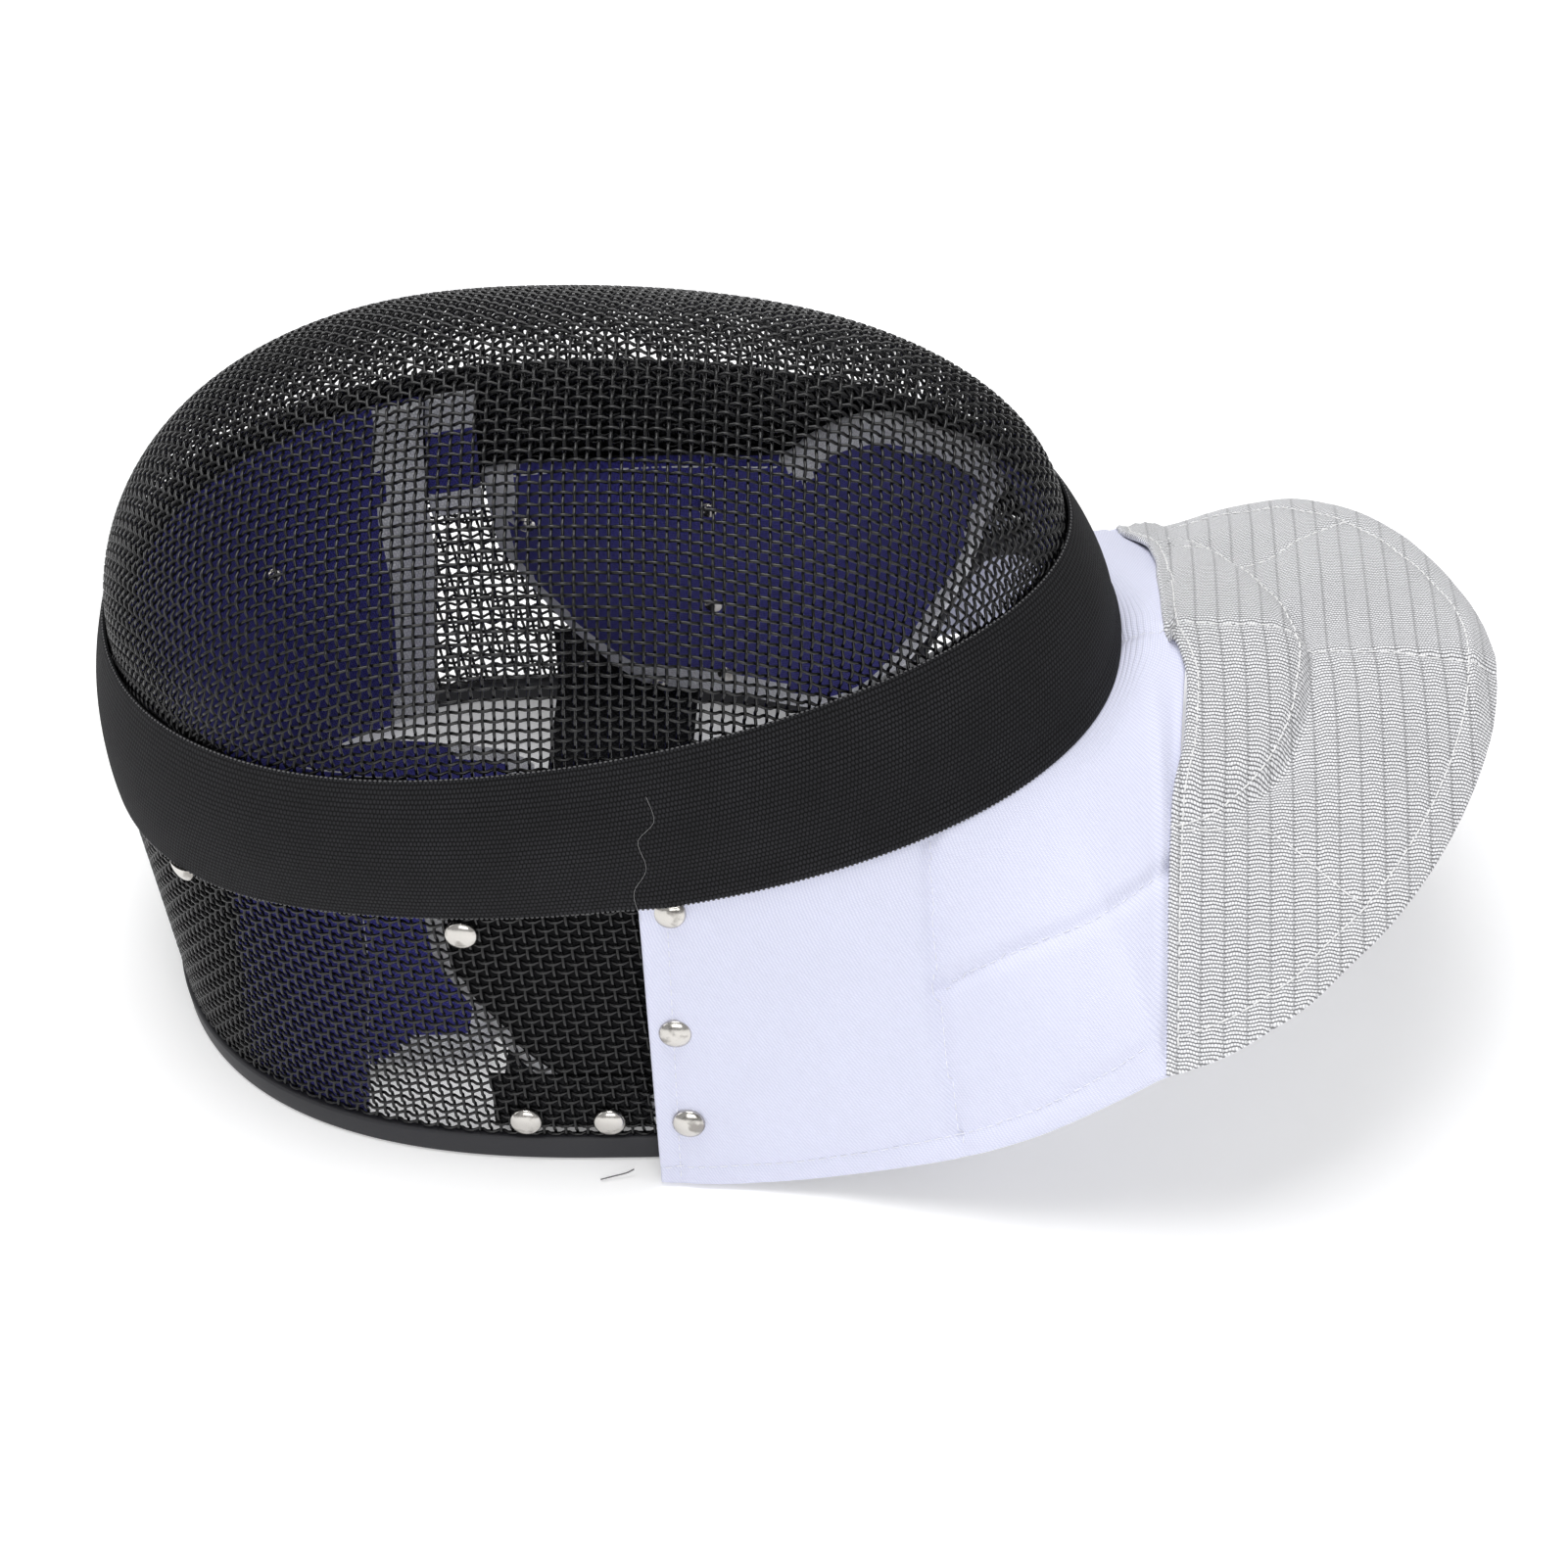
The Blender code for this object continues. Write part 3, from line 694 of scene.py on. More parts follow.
class Paint:
    """A material that is being mixed: its tree, its shader and the effects placed in it."""

    def __init__(self, name: str, **shader: float | tuple) -> None:
        """Start a material.

        Args:
            name: the material's name.
            shader: plain values of the Principled shader, with _ for each space.
        """
        self.material = bpy.data.materials.new(name)
        self.material.use_nodes = True
        self.tree = Tree(self.material.node_tree)
        self.shader = self.material.node_tree.nodes["Principled BSDF"]
        for label, value in shader.items():
            label = label.replace("_", " ").title().replace("Ior", "IOR")
            self.shader.inputs[label].default_value = value
        self.at = self.tree.add("TexCoord").outputs["Object"]
        self.flat = self.tree.add("UVMap", uv_map="flat").outputs[0]

    def effect(self, effect: Effect, **feeds: Feed) -> bpy.types.Node:
        """Place an effect with this material's own values."""
        node = self.tree.add("Group")
        node.node_tree = EFFECTS[effect].tree(effect.value)
        for label, value in feeds.items():
            self.tree.put(node.inputs[label.replace("_", " ")], value)
        return node

    def worn(self, size: float, amount: float, tints: tuple[Tint, Tint],
             share: float = 1.0) -> Socket:
        """Colour of a finish that is worn in places.

        Args:
            size: how many worn places in a metre.
            amount: how much of the surface is worn.
            tints: the whole finish's colour and the worn one's.
            share: how far the worn colour shows.

        Returns:
            The colour.
        """
        mask = self.effect(Effect.SCUFF, At=self.at, Size=size, Amount=amount).outputs["Worn"]
        mask = mask if share == 1.0 else self.tree.times(mask, share)
        return self.tree.blend(mask, *tints)

    def woven(self, flat: Feed, column: float, row: float, waver: float,
              **feeds: float) -> bpy.types.Node:
        """Place a weave of a pitch along the rows and across them."""
        return self.effect(Effect.WEAVE, Flat=flat, Column_pitch=column, Row_pitch=row,
                           Waver=waver, **feeds)

    def tone(self, colour: Feed, spread: float, size: float, rough: float,
             rough_spread: float) -> Socket:
        """Drifting colour and roughness.

        Args:
            colour: colour, or the socket that gives it.
            spread: how far the colour drifts.
            size: how many drifts in a metre.
            rough: middle roughness.
            rough_spread: how far the roughness drifts.

        Returns:
            The drifting colour; the roughness is wired here.
        """
        node = self.effect(Effect.TONE, At=self.at, Colour=colour, Spread=spread, Size=size,
                           Rough=rough, Rough_spread=rough_spread)
        self.tree.put(self.shader.inputs["Roughness"], node.outputs["Rough"])
        return node.outputs["Colour"]

    def finish(self, colour: Feed, height: Feed, deep: float) -> Material:
        """Wire colour and relief.

        Args:
            colour: socket of the base colour.
            height: socket of the relief.
            deep: depth of the relief in metres.

        Returns:
            The material.
        """
        self.tree.put(self.shader.inputs["Base Color"], colour)
        bump = self.tree.add("Bump", {"Height": height, "Distance": deep, "Strength": 1.0})
        self.tree.put(self.shader.inputs["Normal"], bump.outputs[0])
        return self.material


@dataclass(frozen=True)
class PaintedWire:
    """Black lacquer on steel wire."""

    tint: Tint = (0.003, 0.003, 0.0035)
    worn: Tint = (0.022, 0.022, 0.024)
    rough: float = 0.24

    def make(self) -> Material:
        """Mix the material."""
        paint = Paint("black_wire_lacquer", specular_ior_level=0.42)
        tint = paint.worn(240.0, 0.15, (self.tint, self.worn))
        tint = paint.tone(tint, 0.4, 90.0, self.rough, 0.09)
        return paint.finish(tint, paint.tree.noise(paint.at, 2500.0, 2.0), 0.00001)


@dataclass(frozen=True)
class WovenElastic:
    """Ribbed black elastic: fine upright dashes in a brick pattern."""

    tint: Tint = (0.002, 0.002, 0.0025)
    crown: Tint = (0.024, 0.024, 0.027)
    column: float = 1.1
    row: float = 1.5
    name: str = "black_woven_elastic"

    def make(self) -> Material:
        """Mix the material."""
        paint = Paint(self.name, sheen_weight=0.01, sheen_roughness=0.5, specular_ior_level=0.14)
        woven = paint.woven(paint.flat, self.column, self.row, 0.35)
        ply = paint.woven(paint.flat, self.column / 3.0, self.row / 4.0, 0.6)
        tint = paint.tree.blend(woven.outputs["Crown"], self.tint, self.crown)
        tint = paint.tone(tint, 0.7, 60.0, 0.78, 0.12)
        ply_height = paint.tree.times(ply.outputs["Height"], 0.3)
        return paint.finish(tint, paint.tree.plus(woven.outputs["Height"], ply_height), 0.0003)


@dataclass(frozen=True)
class MouldedTrim:
    """Satin black moulded edging."""

    tint: Tint = (0.019, 0.019, 0.023)
    worn: Tint = (0.05, 0.05, 0.055)

    def make(self) -> Material:
        """Mix the material."""
        paint = Paint("black_moulded_trim", specular_ior_level=0.4)
        tint = paint.worn(35.0, 0.16, (self.tint, self.worn), 0.5)
        tint = paint.tone(tint, 0.12, 25.0, 0.5, 0.12)
        return paint.finish(tint, paint.tree.noise(paint.at, 900.0, 3.0), 0.00004)


@dataclass(frozen=True)
class WhiteTwill:
    """Bluish white twill, with fine upright ribs where it is pulled in at the band, their grooves
    tinted darker as painted shade.
    """

    tint: Tint = (0.76, 0.775, 0.91)
    gap: Tint = (0.62, 0.635, 0.80)
    thread: float = 0.48
    rib_pitch: float = 1.4
    rib_deep: float = 15.0
    rib_wide: float = 62.0

    def make(self) -> Material:
        """Mix the material."""
        paint = Paint("white_twill", sheen_weight=0.2, sheen_roughness=0.6, specular_ior_level=0.3)
        tree = paint.tree
        woven = paint.woven(paint.flat, self.thread * 1.9, self.thread, 0.5, Shift=0.33)
        along, down = tree.parted(paint.flat)
        ribs = paint.effect(Effect.LINES, Distance=down, Pitch=self.rib_pitch, Share=0.75)
        near = tree.ranged(down, 0.45 * self.rib_deep, self.rib_deep, 1.0, 0.0)
        side = tree.sum("ABSOLUTE", along)
        near = tree.times(near, tree.ranged(side, 0.6 * self.rib_wide, self.rib_wide, 1.0, 0.0))
        rib = tree.times(ribs.outputs["Line"], near)
        tint = tree.blend(woven.outputs["Crown"], self.gap, self.tint)
        # painted shade: the rib grooves are tinted a little darker, where the relief dents them
        tint = tree.blend(tree.times(rib, 0.3), tint, dimmed(self.tint))
        tint = paint.tone(tint, 0.05, 30.0, 0.85, 0.08)
        height = tree.less(tree.times(woven.outputs["Height"], 0.4), tree.times(rib, 0.8))
        return paint.finish(tint, height, 0.00018)


@dataclass(frozen=True)
class SilverKnit:
    """Metallised knit: wavy rows of bright loops, and a thin line at each rib."""

    loop: Tint = (0.92, 0.925, 0.95)
    gap: Tint = (0.20, 0.20, 0.21)
    row: float = 1.12
    column: float = 0.85
    rib_pitch: float = 6.3
    wave: float = 0.22

    def make(self) -> Material:
        """Mix the material."""
        paint = Paint("silver_knit", specular_ior_level=0.6, sheen_weight=0.1)
        tree = paint.tree
        along, across = tree.parted(paint.flat)
        wave = tree.sum("COSINE", tree.times(along, 2.0 * math.pi / self.rib_pitch))
        row_at = tree.plus(across, tree.times(wave, self.wave))
        wavy = tree.add("CombineXYZ", {0: along, 1: row_at}).outputs[0]
        woven = paint.woven(wavy, self.column, self.row, 0.8, Run=0.45)
        zigzag = tree.sum("SINE", tree.times(across, 2.0 * math.pi / self.row))
        line_at = tree.plus(along, tree.times(zigzag, 0.3))
        ribs = paint.effect(Effect.LINES, Distance=line_at, Pitch=self.rib_pitch, Share=0.10)
        tint = tree.blend(woven.outputs["Crown"], self.gap, self.loop)
        line = tree.times(ribs.outputs["Line"], 0.3)
        tint = tree.blend(line, tint, dimmed(self.gap))
        tint = paint.tone(tint, 0.10, 35.0, 0.55, 0.12)
        tree.put(paint.shader.inputs["Metallic"], tree.times(woven.outputs["Crown"], 0.25))
        height = tree.less(woven.outputs["Height"], tree.times(ribs.outputs["Line"], 0.6))
        return paint.finish(tint, height, 0.0005)


@dataclass(frozen=True)
class BrushedCloth:
    """Brushed lining, backing or binding cloth."""

    name: str
    tint: Tint
    gap: Tint
    pitch: float = 0.9
    sheen: float = 0.4

    def make(self) -> Material:
        """Mix the material."""
        paint = Paint(self.name, sheen_weight=self.sheen, sheen_roughness=0.45,
                      specular_ior_level=0.2)
        woven = paint.woven(paint.flat, self.pitch, self.pitch, 1.2)
        tint = paint.tree.blend(woven.outputs["Crown"], self.gap, self.tint)
        tint = paint.tone(tint, 0.3, 60.0, 0.9, 0.08)
        fuzz = paint.tree.noise(paint.at, 1400.0, 3.0)
        return paint.finish(tint, paint.tree.plus(woven.outputs["Height"], fuzz), 0.00025)


@dataclass(frozen=True)
class PolishedNickel:
    """Nickel plate on a pressed rivet head, a little scuffed."""

    tint: Tint = (0.58, 0.56, 0.53)
    worn: Tint = (0.17, 0.155, 0.14)

    def make(self) -> Material:
        """Mix the material."""
        paint = Paint("nickel_plate", metallic=1.0)
        tint = paint.worn(170.0, 0.3, (self.tint, self.worn), 0.7)
        tint = paint.tone(tint, 0.15, 200.0, 0.17, 0.14)
        return paint.finish(tint, paint.tree.noise(paint.at, 500.0, 2.0), 0.00005)


@dataclass(frozen=True)
class SewingThread:
    """Twisted thread."""

    name: str
    tint: Tint

    def make(self) -> Material:
        """Mix the material."""
        paint = Paint(self.name, sheen_weight=0.3, specular_ior_level=0.4)
        tint = paint.tone(self.tint, 0.25, 600.0, 0.6, 0.1)
        return paint.finish(tint, paint.tree.noise(paint.at, 5000.0, 1.0), 0.00005)


class Wardrobe:
    """Every finish of the mask, mixed once."""

    def __init__(self) -> None:
        """Mix them."""
        self.wire = PaintedWire().make()
        self.band = WovenElastic().make()
        self.strap = WovenElastic(tint=(0.008, 0.008, 0.009), column=1.4, row=1.1,
                                  name="black_strap_elastic").make()
        self.trim = MouldedTrim().make()
        self.white = WhiteTwill().make()
        self.silver = SilverKnit().make()
        self.lining = [
            BrushedCloth("navy_lining", (0.06, 0.058, 0.34), (0.034, 0.032, 0.19),
                         sheen=0.15).make(),
            BrushedCloth("black_backing", (0.010, 0.010, 0.012), (0.005, 0.005, 0.006),
                         sheen=0.03).make(),
            BrushedCloth("grey_binding", (0.86, 0.865, 0.89), (0.66, 0.665, 0.70), 1.1, 0.1).make(),
        ]
        self.nickel = PolishedNickel().make()
        self.white_thread = SewingThread("white_thread", (0.78, 0.79, 0.86)).make()
        self.silver_thread = SewingThread("pale_thread", (0.80, 0.80, 0.80)).make()
        self.grey_thread = SewingThread("grey_thread", (0.34, 0.34, 0.34)).make()
        self.dark_thread = SewingThread("dark_grey_thread", (0.10, 0.10, 0.105)).make()


# ------------------------------------------------------------------ the cage's surface
@dataclass(frozen=True)
class Ring:
    """One level of the cage's wall."""

    mid_x: float
    half_long: float
    half_wide: float
    chin_taper: float
    square: float
    height: float
    slope: float
    dish: float


@dataclass
class Cage:
    """Outside of the wires, read by the angle from the chin and by a level.

    Level 0 is the rear rim, 1 the lower edge of the band, 2 its upper edge and 3 the dome's top.
    """

    rings: tuple[Ring, ...] = (
        Ring(12.5, 142.8, 99.5, 0.123, 2.34, 0.0, 0.000, 0.0),
        Ring(2.1, 144.1, 94.2, 0.106, 2.29, 94.8, 0.114, 1.6),
        Ring(-3.5, 136.2, 88.2, 0.190, 2.10, 142.2, 0.105, 1.0),
    )
    band_swell: float = 2.65
    dome_height: float = 78.0
    dome_lean: float = -9.3
    power_side: float = 1.68
    power_long: float = 1.99
    rise: float = 95.0
    joint_level: float = 1.5
    top_level: float = 2.97
    last_level: float = 2.96
    nudge: float = 0.02
    seat_turn: float = 0.35
    neck_edge: Table = (
        (0.0, 0.90), (36.0, 0.89), (44.0, 0.83), (50.0, 0.68), (56.0, 0.45), (62.0, 0.20),
        (67.0, 0.06), (72.0, 0.0), (180.0, 0.0),
    )

    def wall(self, angle: Array, level: Array) -> Array:
        """Points of the wall, for levels up to 2."""
        table = np.array([astuple(ring) for ring in self.rings])
        level = np.clip(level, 0.0, 2.0)
        lower = np.minimum(level.astype(int), 1)
        share = level - lower
        ring = table[lower] + (table[lower + 1] - table[lower]) * share[..., None]
        mid_x, half_long, half_wide, taper, square, height, slope, dish = np.moveaxis(ring, -1, 0)
        swell = np.where(lower == 1, self.band_swell * 4.0 * share * (1.0 - share), 0.0)
        cos, sin = np.cos(np.radians(angle)), np.sin(np.radians(angle))
        power = 2.0 / square
        x = mid_x + (half_long + swell) * np.sign(cos) * np.abs(cos) ** power
        y = (half_wide + swell) * np.sign(sin) * np.abs(sin) ** power * (1.0 - taper * cos)
        return np.stack([x, y, height + slope * x + dish * ((x - mid_x) / 100.0) ** 2], -1)

    def dome(self, angle: Array, level: Array) -> Array:
        """Points of the dome, for levels over 2."""
        base = self.wall(angle, np.full_like(level, 2.0))
        reach = np.cos(np.radians(90.0 * np.clip(level - 2.0, 0.0, 1.0)))
        towards_chin = np.cos(np.radians(angle)) ** 2
        power = self.power_side + (self.power_long - self.power_side) * towards_chin
        rise = np.maximum(0.0, 1.0 - reach ** power) ** (1.0 / power)
        top = self.rings[2]
        x = top.mid_x + self.dome_lean * rise + (base[..., 0] - top.mid_x) * reach
        flat = top.height + top.slope * base[..., 0]
        z = top.height + top.slope * x + (base[..., 2] - flat) * reach + self.dome_height * rise
        return np.stack([x, base[..., 1] * reach, z], -1)

    def skin(self, angle: Array | float, level: Array | float) -> Array:
        """Points on the outside of the wires."""
        angle, level = np.broadcast_arrays(np.asarray(angle, float), np.asarray(level, float))
        return np.where((level <= 2.0)[..., None], self.wall(angle, level), self.dome(angle, level))

    def normal(self, angle: Array | float, level: Array | float) -> Array:
        """Unit normals of the surface, pointing outwards."""
        angle, level = np.broadcast_arrays(np.asarray(angle, float), np.asarray(level, float))
        at = np.minimum(level, self.top_level)
        around = self.skin(angle + 1.0, at) - self.skin(angle - 1.0, at)
        higher = np.minimum(level + self.nudge, self.top_level)
        lower = np.maximum(np.minimum(level, self.last_level) - self.nudge, 0.0)
        return unit(np.cross(around, self.skin(angle, higher) - self.skin(angle, lower)))

    def point(self, angle: Array | float, level: Array | float, out: Array | float) -> Array:
        """Points at a distance outside the wires."""
        out = np.asarray(out, float)[..., None]
        return self.skin(angle, level) + self.normal(angle, level) * out

    def edge_level(self, angle: Array | float) -> Array:
        """Level of the wall's lower edge, under the trim."""
        return Curve(*zip(*self.neck_edge))(folded(angle))

    def level_at(self, angle: Array, z: Array) -> Array:
        """Level at which the wall has a height."""
        level = np.broadcast_to(z / self.rise, np.broadcast(angle, z).shape).copy()
        for _ in range(12):
            level = np.clip(level + (z - self.skin(angle, level)[..., 2]) / self.rise, 0.0, 2.0)
        return level

    def even_angles(self, count: int, level: float = 0.8) -> Array:
        """Angles at even distances round the wall, the first at the chin."""
        fine = np.linspace(0.0, 360.0, 2881)
        travelled = run_length(self.skin(fine, level))
        return np.interp(np.arange(count) * travelled[-1] / count, travelled, fine)

    def seat(self, x: float, z: float, side: Side) -> tuple[float, float]:
        """Angle and level of the wall's point at a place along the mask and a height."""
        angle, level = 90.0, z / self.rise
        for _ in range(60):
            point = self.skin(angle, level)
            angle -= (x - point[0]) * self.seat_turn
            level += (z - point[2]) / self.rise
        return side.value * angle, level


# ------------------------------------------------------------------ wires
Knot = tuple[Vector, Vector, float]         # place, normal and level of a crossing
Crossing = tuple[Array, Array, int]         # place, normal, and over (1) or under (-1)


@dataclass
class WireCage:
    """Two woven meshes of 1 mm wire, which meet under the band."""

    cage: Cage
    wardrobe: Wardrobe
    pitch: float = 3.1
    radius: float = 0.5
    middle_x: float = -10.0
    trim_rise: float = 6.0
    round_wall: float = 772.0
    sides: int = 5
    reach: int = 90
    around: int = 240
    lowest: float = 1.06
    lap: float = 0.01
    flank: float = 0.26
    net: dict[tuple[int, int], Knot] = field(default_factory=dict)

    def __post_init__(self) -> None:
        """Make a search tree of the cage's outside over level 1."""
        angles = np.arange(self.around) * 360.0 / self.around
        levels = np.linspace(1.0, 2.999, 161)
        points = self.cage.skin(angles[None, :], levels[:, None])
        cells = quads(len(levels), self.around, True)
        self.tree = BVHTree.FromPolygons(points.reshape(-1, 3).tolist(), cells.tolist())
        self.rise = levels[1] - levels[0]

    def look_up(self, point: Vector) -> Knot:
        """Nearest place on the surface, with its normal and level."""
        place, normal, face, _ = self.tree.find_nearest(point)
        return place, normal, 1.0 + (face // self.around) * self.rise

    def knot(self, first: Vector, second: Vector, corner: Vector) -> Knot | None:
        """Place one pitch from two neighbours, on the far side from the corner before them."""
        place, normal, level = self.look_up(first + second - corner)
        for _ in range(6):
            gaps, slopes = [], []
            for near in (first, second):
                away = place - near
                gaps.append(self.pitch - away.length)
                slope = away.normalized()
                slopes.append(slope - normal * slope.dot(normal))
            aa, ab, bb = (slopes[i].dot(slopes[j]) for i, j in ((0, 0), (0, 1), (1, 1)))
            det = aa * bb - ab * ab
            if det < 0.03:
                return None
            move = (slopes[0] * ((gaps[0] * bb - gaps[1] * ab) / det)
                    + slopes[1] * ((gaps[1] * aa - gaps[0] * ab) / det))
            place, normal, level = self.look_up(place + move)
        return place, normal, level

    def spine(self, i: int, j: int) -> None:
        """Lay the net's first row from the middle: along the face, or across it."""
        place, number, ahead = self.net[0, 0][0], 0, Vector((i, j, 0))
        while number < self.reach:
            step = ahead
            for _ in range(4):
                found = self.look_up(place + step * self.pitch)
                step = (found[0] - place).normalized()
            if found[2] <= self.lowest:
                break
            number += 1
            ahead = (step - found[1] * step.dot(found[1])).normalized()
            place = found[0]
            if not j:
                place.y = 0.0
            self.net[i * number, j * number] = found

    def weave_net(self) -> None:
        """Lay the front mesh in square cells of one pitch, on the left half."""
        self.net[0, 0] = self.look_up(Vector((self.middle_x, 0.0, 400.0)))
        for way in ((1, 0), (-1, 0), (0, 1)):
            self.spine(*way)
        for way in (1, -1):
            for j in range(1, self.reach):
                for i in range(1, self.reach):
                    near = [self.net.get(at) for at in ((way * (i - 1), j), (way * i, j - 1),
                                                        (way * (i - 1), j - 1))]
                    found = None if None in near else self.knot(*(item[0] for item in near))
                    if found is None or found[2] <= self.lowest:
                        break
                    self.net[way * i, j] = found

    def wire(self, body: Body, run: list[Crossing]) -> None:
        """Add one wire through a run of crossings.

        Args:
            body: where the wires are gathered.
            run: its crossings.
        """
        places, ups, over = (np.array(part, float) for part in zip(*run))
        over = over[:, None]
        line = places - ups * 2.0 * self.radius
        path, above = np.empty((2 * len(run), 3)), np.empty((2 * len(run), 3))
        ends = line + ups * self.radius * over
        path[0], path[-1] = ends[0], ends[-1]
        reach = line[1:] - line[:-1]
        path[1:-1:2] = line[:-1] + reach * self.flank + ups[:-1] * (self.radius * over[:-1])
        path[2:-1:2] = line[1:] - reach * self.flank + ups[1:] * (self.radius * over[1:])
        above[0::2], above[1::2] = ups, ups
        body.tubes(path[None], above[None], self.radius, self.sides)

    def lay(self, name: str, node: str, rows: Sequence[Sequence[Crossing | None]]) -> None:
        """Make every wire of one direction.

        Args:
            name: name of the piece.
            node: node that it replaces.
            rows: crossings of each line, None where no wire is.
        """
        body = Body()
        for row in rows:
            run: list[Crossing] = []
            for crossing in [*row, None]:
                if crossing is not None:
                    run.append(crossing)
                    continue
                if len(run) > 1:
                    self.wire(body, run)
                run = []
        body.place(name, Slot.WIRE, [self.wardrobe.wire], stands_for=[node])

    def front(self) -> None:
        """Wires of the front mesh, along and across the face."""
        self.weave_net()
        cells = {}
        for (i, j), (place, normal, level) in self.net.items():
            if level >= self.cage.joint_level + self.lap:
                cells[i, j] = (np.array(place), np.array(normal))
                cells[i, -j] = (cells[i, j][0] * MIRROR, cells[i, j][1] * MIRROR)
        every = range(-self.reach, self.reach + 1)
        for name, across, over in (("along", False, 1), ("across", True, -1)):
            keys = [[(line, step) if across else (step, line) for step in every] for line in every]
            self.lay("front_wires_" + name, "front_mesh", [
                [cells[key] + (over if sum(key) % 2 else -over,) if key in cells else None
                 for key in row] for row in keys])

    def side(self) -> None:
        """Wires of the side mesh, round the wall and up it."""
        angles = self.cage.even_angles(2 * round(0.5 * self.round_wall / self.pitch))
        heights = np.arange(5.4, 130.0, self.pitch)
        levels = self.cage.level_at(angles[None, :], heights[:, None])
        places = self.cage.skin(angles[None, :], levels)
        ups = self.cage.normal(angles[None, :], levels)
        low = self.cage.edge_level(angles)[None, :] + self.trim_rise / self.cage.rise
        shown = (levels > low) & (levels < self.cage.joint_level - self.lap)
        rows = [[(places[row, at], ups[row, at], 1 if (row + at) % 2 else -1)
                 if shown[row, at] else None for at in range(len(angles))]
                for row in range(len(heights))]
        upright = [[item and (item[0], item[1], -item[2]) for item in column]
                   for column in zip(*rows)]
        for row in rows:
            gap = row.index(None) if None in row else 0
            row[:] = row[gap:] + row[:gap] + ([] if None in row else row[:1])
        self.lay("side_wires_round", "side_mesh", rows)
        self.lay("side_wires_upright", "side_mesh", upright)

    def build(self) -> None:
        """Make both meshes."""
        self.front()
        self.side()


# ------------------------------------------------------------------ band and trim
@dataclass
class ElasticBand:
    """Wide elastic that covers the joint of the two meshes."""

    cage: Cage
    wardrobe: Wardrobe
    thick: float = 1.2
    low: float = 0.985
    raised: float = 0.034
    stations: int = 300
    bib_angle: float = 85.0
    bib_lift: float = 1.25
    dot_pitch: float = 1.4
    ripple: float = 0.12
    raised_at: float = 112.0

    def outer(self, angle: Array, distance: Array) -> Array:
        """How far the band's face stands outside the wires, by distance from its lower edge."""
        over_bib = smooth(folded(angle), self.bib_angle + 3.0, self.bib_angle - 2.0)
        stand = GAP + self.thick + 0.25
        return stand + self.bib_lift * over_bib * smooth(distance, 9.0, 1.5)

    def build(self) -> None:
        """Make the band and the light picks along its edges."""
        angles = self.cage.even_angles(self.stations, 1.5)
        upward = self.cage.skin(90.0, np.linspace(self.low, 2.0, 40))
        tall = float(np.linalg.norm(np.diff(upward, axis=0), axis=1).sum())
        up = stops(tall, 2.4, 1.0)
        low = self.low + self.raised * bell(folded(angles) - self.raised_at, 13.0)[None, :]
        levels = low + (2.0 - low) * (up / tall)[:, None]
        outs = self.outer(angles[None, :], up[:, None])
        wave = np.sin(np.radians(angles * 9.0))[None, :] * np.sin(up / 7.0)[:, None]
        outs = outs + self.ripple * wave
        thick = rolled(np.minimum(up, tall - up), self.thick)[:, None] + np.zeros_like(outs)
        sunk = 0.5 * (self.thick - thick)
        normal = self.cage.normal(angles[None, :], levels)
        outer = self.cage.skin(angles[None, :], levels) + normal * (outs - sunk)[..., None]
        round_it = run_length(np.concatenate([outer, outer[:, :1]], axis=1))[len(up) // 2]
        flat = np.stack(np.broadcast_arrays(round_it[None, :], up[:, None]), -1)
        body = Body()
        body.shell(outer, normal, thick, flat, wrap=True)
        band = body.place("elastic_band", Slot.ELASTIC, [self.wardrobe.band],
                          stands_for=["trim_band"])
        picks = Body()
        for row in (0, -1):
            self.pick_edge(picks, outer[row], normal[row])
        made = picks.place("band_edge_picks", Slot.ELASTIC, [self.wardrobe.dark_thread])

    def pick_edge(self, body: Body, edge: Array, normal: Array) -> None:
        """Add the picks along one edge.

        Args:
            body: where the picks are gathered.
            edge: points of the edge round the mask.
            normal: unit normals there.
        """
        closed, ups = (np.concatenate([part, part[:1]]) for part in (edge, normal))
        line = resample(closed, self.dot_pitch)
        ups = np.stack([np.interp(run_length(line), run_length(closed), ups[:, axis])
                        for axis in range(3)], -1)
        reach = np.array([-0.4, 0.0, 0.4])[:, None]
        ahead = unit(np.gradient(line, axis=0))
        paths = line[:, None] + ahead[:, None] * reach + ups[:, None] * 0.35
        radius = np.array([0.12, 0.26, 0.12])
        body.tubes(paths, np.repeat(ups[:, None], 3, axis=1), radius, 4)


